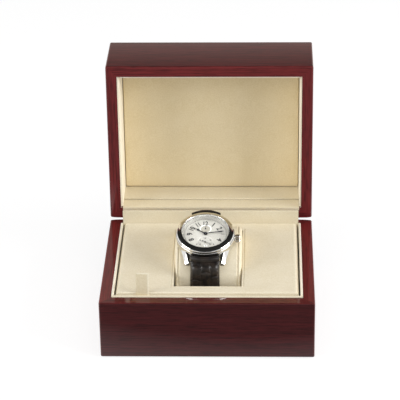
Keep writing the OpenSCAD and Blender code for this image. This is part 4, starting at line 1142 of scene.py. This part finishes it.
gilt = gilt_metal("gilt_brass", "#D8B465", 0.3)
plated = striped_plate("striped_plated_brass")
for node in ("movement_ring", "barrel", "centre_wheel", "third_wheel", "fourth_wheel", "minute_wheel",
             "hour_wheel", "balance_wheel", "winding_rotor"):
    finish_node(node, gilt)
for node in ("main_plate", "train_bridge", "balance_cock"):
    finish_node(node, plated)
for node in ("escape_wheel", "pallet_fork", "cannon_pinion", "balance_spring"):
    finish_node(node, ground_steel)
finish_node("case_gasket", moulded_rubber("moulded_gasket_rubber"))


# The dial: a brass disc, silvered and finely grained. The faces of the small seconds and the power reserve
# are sunk into it and turned in fine rings, each with a sloping silvered edge, painted paler than the dial
# as a highlight and near white at the reserve. A satin flange ring stands round it.
dial_z = 8 * MM
sunk_t = 0.12 * MM
seconds_y = -8 * MM
seconds_r = 5.5 * MM
reserve_y = 5.2 * MM
reserve_r = 4 * MM
ring_pitch = 0.3 * MM
edge_over = 0.1 * MM
edge_up = 0.05 * MM
sunk_within = 0.04 * MM
into_watch = watch.inverted()


def silvered(name, light, shade, ring_y=0, ring_w=0):
    """Silvered brass: pale, softly metallic, with a fine grain, or with rings turned ring_w apart round
    ring_y. The real grain of about 0.1 mm is drawn three times as coarse, so that it shows."""
    material, tree, surface, place = new_material(name)
    flat = add_node(tree, "Mapping", {"Vector": place, "Rotation": into_watch.to_euler(),
                                      "Location": into_watch.translation - Vector((0, ring_y, 0))})
    grain = add_node(tree, "TexNoise", {"Vector": flat, "Scale": 3200, "Detail": 3})
    tone = add_node(tree, "ValToRGB", {"Fac": grain})
    set_ramp(tone, (0.35, shade), (0.65, light))
    height = grain
    if ring_w:
        rings = add_node(tree, "TexWave", {"Vector": flat, "Scale": 2 * math.pi / (20 * ring_w)},
                         wave_type="RINGS", rings_direction="Z")
        height = rings.outputs["Fac"]
    relief = add_node(tree, "Bump", {"Height": height, "Strength": 0.25, "Distance": 0.00004})
    set_inputs(tree, surface, {"Base Color": tone, "Metallic": 0.25, "Roughness": 0.42, "Normal": relief})
    return material


dial = finished_copy("dial", "silvered_dial", 0.03 * MM)
dress(dial, silvered("grained_silvered_brass", "#CBC8BF", "#BAB6AC"), "pillow", "dial")
dial.data.materials.append(silvered("ringed_silvered_seconds", "#C6C3BB", "#B5B1A7", seconds_y, ring_pitch))
dial.data.materials.append(silvered("ringed_silvered_reserve", "#BCB7AA", "#ABA698", reserve_y, ring_pitch))
for face in dial.data.polygons:
    spot = into_watch @ face.center
    if abs(spot.z - dial_z + sunk_t) < sunk_within:
        face.material_index = 1 if spot.y < 0 else 2
# The sloping edges and the date frame take paler copies of the silver: painted highlight.
near_white_highlight = silvered("silvered_edge_painted_highlight", "#FBFAF7", "#F1EFEA")
soft_highlight = silvered("silvered_edge_soft_painted_highlight", "#D2CFC8", "#C3C0B8")
EDGES = (("seconds", seconds_y, seconds_r, 0.32 * MM, soft_highlight),
         ("reserve", reserve_y, reserve_r, 0.6 * MM, near_white_highlight))
for edge_name, edge_y, edge_r, edge_w, highlight_finish in EDGES:
    edge_in = edge_r - edge_w
    edge_out = edge_r + edge_over
    edge_profile = [(edge_out, dial_z - 0.1 * MM), (edge_out, dial_z + 0.04 * MM),
                    (edge_r, dial_z + edge_up), (edge_in, dial_z - sunk_t), (edge_in, dial_z - 0.15 * MM)]
    rim = turned_ring(f"sloping_{edge_name}_edge", edge_profile, (0, edge_y, 0))
    dress(rim, highlight_finish, "pillow")
flange = finished_copy("flange_ring", "brushed_flange", 0.03 * MM)
flange_silver = silvered("satin_flange_silver", "#A19E96", "#928F87", 0, 0.25 * MM)
flange_tree = flange_silver.node_tree
set_inputs(flange_tree, flange_tree.nodes["Principled BSDF"], {"Metallic": 0.5, "Roughness": 0.6})
dress(flange, flange_silver, "pillow", "flange_ring")


# The markings: black numerals with their heads turned outwards, hour dots and a minute track at the edge,
# and the scales and small numbers of the two sunk faces, all printed in thick black ink that stands proud.
def printed(name):
    """Printing ink: dense black, a little uneven, with a soft gloss."""
    return mottled(name, 2500, 2, "#1B1A19", "#2E2C2A", 0.45)[0]


ink = printed("black_printing_ink")
ink_t = 0.03 * MM
on_dial = dial_z + ink_t / 2
on_sunk = dial_z - sunk_t + ink_t / 2
track_in = 14.6 * MM
track_out = 14.74 * MM
small_number = (1.1 * MM, 1.2 * MM)


def printed_number(words, high, wide, place):
    """A number as a thin mesh of a height and width, standing at a place of the watch."""
    bpy.ops.object.select_all(action="DESELECT")
    bpy.ops.object.text_add()
    number = bpy.context.object
    number.name = f"printed_{words}"
    number.data.body = words
    number.data.extrude = 0.01
    number.data.offset = 0.03
    number.data.resolution_u = 3
    bpy.ops.object.convert(target="MESH")
    number = bpy.context.object
    points = [v.co.copy() for v in number.data.vertices]
    low = Vector([min(p[i] for p in points) for i in range(3)])
    size = Vector([max(p[i] for p in points) for i in range(3)]) - low
    scaled = Matrix.Diagonal((wide / size.x, high / size.y, ink_t / size.z, 1))
    number.data.transform(watch @ place @ scaled @ Matrix.Translation(-low - size / 2))
    return number


def about(y, degrees, out, z):
    """A place at a distance out from a centre of the dial, in the direction of this clock angle."""
    turned = Matrix.Rotation(math.radians(-degrees), 4, "Z")
    return Matrix.Translation((0, y, z)) @ turned @ Matrix.Translation((0, out, 0))


def printed_marks(name, wide, high, places):
    """Small printed bars with rounded corners, at their places on the watch."""
    mark = new_block(name, (-wide / 2, -high / 2, -ink_t / 2), (wide / 2, high / 2, ink_t / 2))
    round_edges(mark, wide * 0.4, 2, upright)
    return laid_copies(name, mark, [watch @ place for place in places])


# The printed hours, in millimetres: the number's height and width, and how far out its middle is. Then the
# printed bars: their width and height in millimetres, and their places.
HOURS = ((12, 4.2, 3.3, 10.8), (1, 4.1, 0.9, 10.9), (2, 4.2, 2.5, 11.2), (4, 3.9, 2.7, 11.6),
         (8, 3.9, 2.4, 11.3), (9, 4.2, 2.4, 11.0), (10, 4.2, 3.3, 11.0), (11, 4.1, 2.4, 10.8))
MARKS = (("hour_dots", 0.34, 0.34, [about(0, 30 * i, 14.35 * MM, on_dial) for i in range(12)]),
         ("minute_ticks", 0.14, 0.3, [about(0, 6 * i, 14.4 * MM, on_dial) for i in range(60) if i % 5]),
         ("short_strokes", 0.5, 1.5, [about(0, 30 * hour, 11.7 * MM, on_dial) for hour in (5, 7)]),
         ("three_bar", 0.5, 2.6, [about(0, 90, 12 * MM, on_dial)]),
         ("seconds_ticks", 0.2, 0.5, [about(seconds_y, 15 * i, 4.75 * MM, on_sunk) for i in range(24)]),
         ("reserve_ticks", 0.16, 0.45,
          [about(reserve_y, 20 * i - 70, 3.2 * MM, on_sunk) for i in range(8)]))
printed_pieces = [printed_number(f"{hour}", high * MM, wide * MM, about(0, 30 * hour, out * MM, on_dial))
                  for hour, high, wide, out in HOURS]
printed_pieces += [printed_number(f"{10 * i}", *small_number, about(seconds_y, 60 * i, 4 * MM, on_sunk))
                   for i in (1, 2, 4, 5, 6)]
printed_pieces += [printed_marks(name, wide * MM, high * MM, places) for name, wide, high, places in MARKS]
track_profile = [(track_in, dial_z), (track_out, dial_z), (track_out, dial_z + ink_t),
                 (track_in, dial_z + ink_t)]
printed_pieces.append(turned_ring("minute_track", track_profile, (0, 0, 0)))
pick(*printed_pieces)
bpy.ops.object.join()
markings = bpy.context.object
markings.name = "printed_markings"
dress(markings, ink, "pillow")


# The date window: a small opening low on the seconds face, with a raised silvered frame painted near white
# as a highlight, a white enamelled disc that shows in it, and a number printed on the disc.
window_at = Matrix.Translation((0.4 * MM, -11.6 * MM, dial_z - sunk_t))
window_x = 1.9 * MM / 2
window_y = 1.4 * MM / 2
disc_t = 0.03 * MM
frame_t = 0.08 * MM
frame_x = window_x + 0.16 * MM
frame_y = window_y + 0.16 * MM
date_disc = new_block("date_disc", (-window_x, -window_y, 0), (window_x, window_y, disc_t))
date_disc.data.transform(watch @ window_at)
round_edges(date_disc, 0.01 * MM, 1, lambda a, b: True)
dress(date_disc, silvered("white_date_enamel", "#FBFAF7", "#F1EFEA"), "pillow")
date_frame = new_block("date_frame", (-frame_x, -frame_y, 0), (frame_x, frame_y, frame_t))
cut_away(date_frame, new_block("date_hole", (-window_x, -window_y, -MM), (window_x, window_y, MM)))
round_edges(date_frame, 0.03 * MM, 2, lambda a, b: flat_at(frame_t, a, b))
date_frame.data.transform(watch @ window_at)
dress(date_frame, near_white_highlight, "pillow")
number_at = window_at @ Matrix.Translation((0, 0, disc_t + ink_t / 2))
dress(printed_number("26", 0.95 * MM, 1.2 * MM, number_at), ink, "pillow")


# The hands: stamped from steel, domed, blackened and polished, each pressed on its arbor by a round boss.
# The hour and minute hands widen to a leaf before the tip, and the seconds hand has a round counterweight.
def blackened_steel(name):
    """Blackened and polished steel: nearly black, with a soft half-metal gloss."""
    material, tree, surface, _ = mottled(name, 1200, 3, "#141416", "#26262B", 0.3)
    set_inputs(tree, surface, {"Metallic": 0.6})
    return material


hand_black = blackened_steel("blackened_steel")
blade_t = 0.16 * MM
blade_dome = 0.08 * MM
boss_t = 0.3 * MM
boss_round = 0.1 * MM
tip_w = 0.12 * MM


def hand_width(arm, leaf, leaf_from, leaf_to, v):
    """How wide a hand is at a share of its length."""
    if v < leaf_from:
        return arm * (1 - 0.2 * v / leaf_from)
    if v < leaf_to:
        t = (v - leaf_from) / (leaf_to - leaf_from)
        return 0.8 * arm + (leaf - 0.8 * arm) * math.sin(math.pi * t ** 1.25) ** 1.4 - 0.13 * arm * t
    return max(tip_w, 0.67 * arm * (1 - (v - leaf_from) / (1.0001 - leaf_from)) ** 0.4)


def made_hand(name, place, low, length, tail, widths, boss, body):
    """A hand: a domed blade lofted along its length, thickened, with a turned boss joined on."""
    def blade_place(u, v):
        across = 2 * u - 1
        along = v * (length + tail) - tail
        x = across * widths(max(0, along / length)) / 2
        return Vector((x, along, low + blade_t + blade_dome * (1 - across * across)))

    blade = loft(name, 6, 60, blade_place)
    apply_modifier(blade, "SOLIDIFY", thickness=blade_t, offset=-1)
    bpy.ops.object.select_all(action="DESELECT")
    bpy.ops.mesh.primitive_cylinder_add(vertices=40, radius=boss, depth=boss_t,
                                        location=(0, 0, low + boss_t / 2))
    turned_boss = bpy.context.object
    bpy.ops.object.transform_apply(location=True, rotation=True, scale=True)
    round_edges(turned_boss, boss_round, 3, lambda a, b: flat_at(low + boss_t, a, b))
    pick(blade, turned_boss)
    bpy.ops.object.join()
    blade.data.transform(watch @ place)
    smooth(blade, 40)
    dress(blade, hand_black, body, f"{body}_hand")


hour_place = Matrix.Rotation(math.radians(-306.7), 4, "Z")
minute_place = Matrix.Rotation(math.radians(-80.5), 4, "Z")
seconds_place = Matrix.Translation((0, seconds_y, 0)) @ Matrix.Rotation(math.radians(-120), 4, "Z")
reserve_place = Matrix.Translation((0, reserve_y, 0))
small_z = dial_z + 0.12 * MM
weight_at = -2.2 * MM
weight_r = 0.45 * MM
weight_axis = 0.01 * MM
weight_top = dial_z + 0.34 * MM
made_hand("leaf_hour_hand", hour_place, dial_z + 0.4 * MM, 9.5 * MM, 0,
          lambda v: hand_width(0.85 * MM, 1.85 * MM, 0.54, 0.8, v), 1.35 * MM, "hour")
made_hand("leaf_minute_hand", minute_place, dial_z + 0.9 * MM, 13.2 * MM, 0,
          lambda v: hand_width(0.8 * MM, 1.25 * MM, 0.64, 0.95, v), 1.2 * MM, "minute")
made_hand("slim_seconds_hand", seconds_place, small_z, 3.6 * MM, -weight_at,
          lambda v: 0.24 * MM, 0.5 * MM, "seconds")
weight_profile = [(weight_axis, small_z), (weight_r, small_z), (weight_r, dial_z + 0.28 * MM),
                  (weight_r - 0.1 * MM, weight_top), (weight_axis, weight_top)]
weight_place = (seconds_place @ Matrix.Translation((0, weight_at, 0))).translation
seconds_weight = turned_ring("seconds_counterweight", weight_profile, weight_place)
dress(seconds_weight, hand_black, "seconds", "seconds_hand")
made_hand("slim_reserve_hand", reserve_place, small_z, 3 * MM, 0,
          lambda v: (0.4 - 0.3 * v) * MM, 0.5 * MM, "reserve")


# The crystal: a thick sapphire disc with a bevelled edge, pressed into the bezel on its gasket. It is
# coated against reflections, so it hardly shows, and it lets the light through to the dial.
sapphire, tree, surface, place = new_material("coated_sapphire")
smears = add_node(tree, "TexNoise", {"Vector": place, "Scale": 300, "Detail": 2})
clear = add_node(tree, "MapRange", {"Value": smears, "To Min": 0, "To Max": 0.02})
set_inputs(tree, surface, {"Base Color": linear("#FDFEFF"), "Transmission Weight": 1, "IOR": 1.2,
                           "Roughness": clear})
rays = add_node(tree, "LightPath", {})
open_glass = add_node(tree, "BsdfTransparent", {})
lit_through = add_node(tree, "MixShader", {0: rays.outputs["Is Shadow Ray"], 1: surface, 2: open_glass})
set_inputs(tree, tree.nodes["Material Output"], {"Surface": lit_through})
crystal_low = case_top + 0.82 * MM
crystal_high = crest_z - 0.12 * MM
crystal_out = crystal_r - 0.38 * MM
crystal_bevel = 0.1 * MM
CRYSTAL_PROFILE = ((0, crystal_low), (crystal_out, crystal_low),
                   (crystal_out, crystal_high - crystal_bevel),
                   (crystal_out - crystal_bevel, crystal_high), (0, crystal_high))


def crystal_place(u, v):
    """A point of the crystal: u runs round it, v from its lower face's middle over the edge to its top."""
    r, z = CRYSTAL_PROFILE[round(v * (len(CRYSTAL_PROFILE) - 1))]
    angle = 2 * math.pi * u
    return watch @ Vector((r * math.cos(angle), r * math.sin(angle), z))


crystal = loft("sapphire_crystal", 144, len(CRYSTAL_PROFILE) - 1, crystal_place)
close_up(crystal)
smooth(crystal, 30)
dress(crystal, sapphire, "pillow", "crystal")


# The studio: a white sweep, four softboxes, and cards that only the gloss of the object sees: black ones
# above, in front and on the floor, two toned backdrops behind, and a soft shade on the floor in front.
def seen_ray(tree):
    """1 for the rays that see the set as white: the camera's, and those in gloss or through glass."""
    rays = add_node(tree, "LightPath", {})
    shown = add_node(tree, "Math", {0: rays.outputs["Is Camera Ray"], 1: rays.outputs["Is Glossy Ray"]},
                     operation="MAXIMUM")
    return add_node(tree, "Math", {0: shown, 1: rays.outputs["Is Transmission Ray"]}, operation="MAXIMUM")


floor_material, tree, surface, _ = new_material("white_sweep")
set_inputs(tree, surface, {"Base Color": linear("#989898"), "Roughness": 0.9, "Specular IOR Level": 0.1})
white = add_node(tree, "Emission", {"Color": linear("#FFFFFF"), "Strength": 0.76})
lifted = add_node(tree, "AddShader", {0: surface, 1: white})
seen = add_node(tree, "MixShader", {0: seen_ray(tree), 1: surface, 2: lifted})
set_inputs(tree, tree.nodes["Material Output"], {"Surface": seen})
bpy.ops.object.select_all(action="DESELECT")
bpy.ops.mesh.primitive_plane_add(size=8, location=(0, 0, 0))
floor = bpy.context.object
floor.name = "white_floor"
floor.data.materials.append(floor_material)

world = bpy.context.scene.world or bpy.data.worlds.new("studio")
bpy.context.scene.world = world
world.use_nodes = True
tree = world.node_tree
room = add_node(tree, "Background", {"Color": linear("#FFFFFF"), "Strength": 0.36})
backdrop = add_node(tree, "Background", {"Color": linear("#FFFFFF"), "Strength": 1})
sky = add_node(tree, "MixShader", {0: seen_ray(tree), 1: room, 2: backdrop})
set_inputs(tree, tree.nodes["World Output"], {"Surface": sky})

# The softboxes in metres and watts: the place, the size and the power.
LAMPS = (("overhead_softbox", (0, -0.35, 1.2), 1.0, 2.5), ("left_softbox", (-1.25, -0.45, 0.5), 0.8, 12),
         ("right_softbox", (1.25, -0.4, 0.55), 0.8, 16), ("front_softbox", (0.3, -1.6, 1.1), 0.8, 3))
middle = Vector((0, 0.02, 0.07))
for lamp_name, lamp_at, lamp_size, lamp_power in LAMPS:
    softbox = bpy.data.lights.new(lamp_name, "AREA")
    softbox.shape = "SQUARE"
    softbox.size = lamp_size
    softbox.energy = lamp_power
    lamp = bpy.data.objects.new(lamp_name, softbox)
    bpy.context.scene.collection.objects.link(lamp)
    lamp.visible_glossy = lamp_name in ("left_softbox", "right_softbox")
    facing = (middle - Vector(lamp_at)).to_track_quat("-Z", "Y").to_matrix().to_4x4()
    lamp.matrix_world = Matrix.Translation(lamp_at) @ facing

pitch = math.radians(28.07)
yaw = math.radians(2.18)
roll = math.radians(-0.979)
camera_at = Vector((0.0397, -1.1891, 0.7267))
looking = Vector((-math.sin(yaw) * math.cos(pitch), math.cos(yaw) * math.cos(pitch), -math.sin(pitch)))
right = looking.cross(Vector((0, 0, 1))).normalized()
up = right.cross(looking)
right, up = math.cos(roll) * right + math.sin(roll) * up, math.cos(roll) * up - math.sin(roll) * right
aim = Matrix((right, up, -looking)).transposed().to_4x4()
camera = bpy.data.objects.new("camera", bpy.data.cameras.new("camera"))
bpy.context.scene.collection.objects.link(camera)
camera.matrix_world = Matrix.Translation(camera_at) @ aim
camera.data.sensor_width = 36
camera.data.lens = 174.2
camera.data.clip_start = 0.05
bpy.context.scene.camera = camera


def studio_card(name, at, size, turn):
    """A black card that only the gloss of the object sees, and the one in front also the crystal. Gives
    back its nodes, so that it may be toned."""
    card_material, tree, surface, place = new_material(name)
    set_inputs(tree, surface, {"Base Color": linear("#161514"), "Roughness": 0.9})
    bpy.ops.object.select_all(action="DESELECT")
    bpy.ops.mesh.primitive_plane_add(size=1, location=at, rotation=(turn, 0, 0))
    card = bpy.context.object
    card.name = name
    card.scale = size
    bpy.ops.object.transform_apply(location=True, rotation=True, scale=True)
    card.visible_camera = False
    card.visible_diffuse = False
    card.visible_shadow = False
    card.visible_transmission = name == "black_front"
    card.data.materials.append(card_material)
    return tree, surface, place


just_above = 0.0004
studio_card("black_ceiling", (0, -0.4, 1.0), (3, 3.4, 1), 0)
studio_card("black_front", (0, -2.1, 0.75), (1.6, 0.5, 1), math.pi / 2)
studio_card("black_floor", (0, -1.05, just_above), (0.8, 1.1, 1), 0)
# The backdrops' glow fades along one axis, from the first end to the second.
BACKDROPS = (("upper_backdrop", (0, 1.1, 0.81), (3, 0.48, 1), "X", (0.15, -0.15), (0.12, 0.42)),
             ("lower_backdrop", (0, 1.1, 0.38), (3, 0.38, 1), "Z", (0.534, 0.495), (0.06, 0.5)))
for card_name, card_at, card_size, way, ends, glow in BACKDROPS:
    tree, surface, place = studio_card(card_name, card_at, card_size, math.pi / 2)
    parts = add_node(tree, "SeparateXYZ", {0: place})
    fade = add_node(tree, "MapRange", {"Value": parts.outputs[way],
                                       "From Min": ends[0], "From Max": ends[1],
                                       "To Min": glow[0], "To Max": glow[1]})
    set_inputs(tree, surface, {"Emission Color": linear("#FFEEE4"), "Emission Strength": fade})
shade_at = (0.03, -0.28, just_above)
shade_size = (0.6, 0.48, 1)
tree, surface, place = studio_card("soft_floor_shade", shade_at, shade_size, 0)
per_x = 2 / shade_size[0]
per_y = 2 / shade_size[1]
spot = add_node(tree, "Mapping", {"Vector": place, "Scale": (per_x, per_y, per_y),
                                  "Location": (-shade_at[0] * per_x, -shade_at[1] * per_y, 0)})
falloff = add_node(tree, "TexGradient", {"Vector": spot}, gradient_type="SPHERICAL")
shade = add_node(tree, "MapRange", {"Value": falloff.outputs["Fac"], "From Min": 0.03, "From Max": 0.2,
                                    "To Min": 0, "To Max": 0.93})
clear = add_node(tree, "BsdfTransparent", {})
veil = add_node(tree, "MixShader", {0: shade, 1: clear, 2: surface})
set_inputs(tree, tree.nodes["Material Output"], {"Surface": veil})

bpy.context.scene.view_settings.view_transform = "Standard"
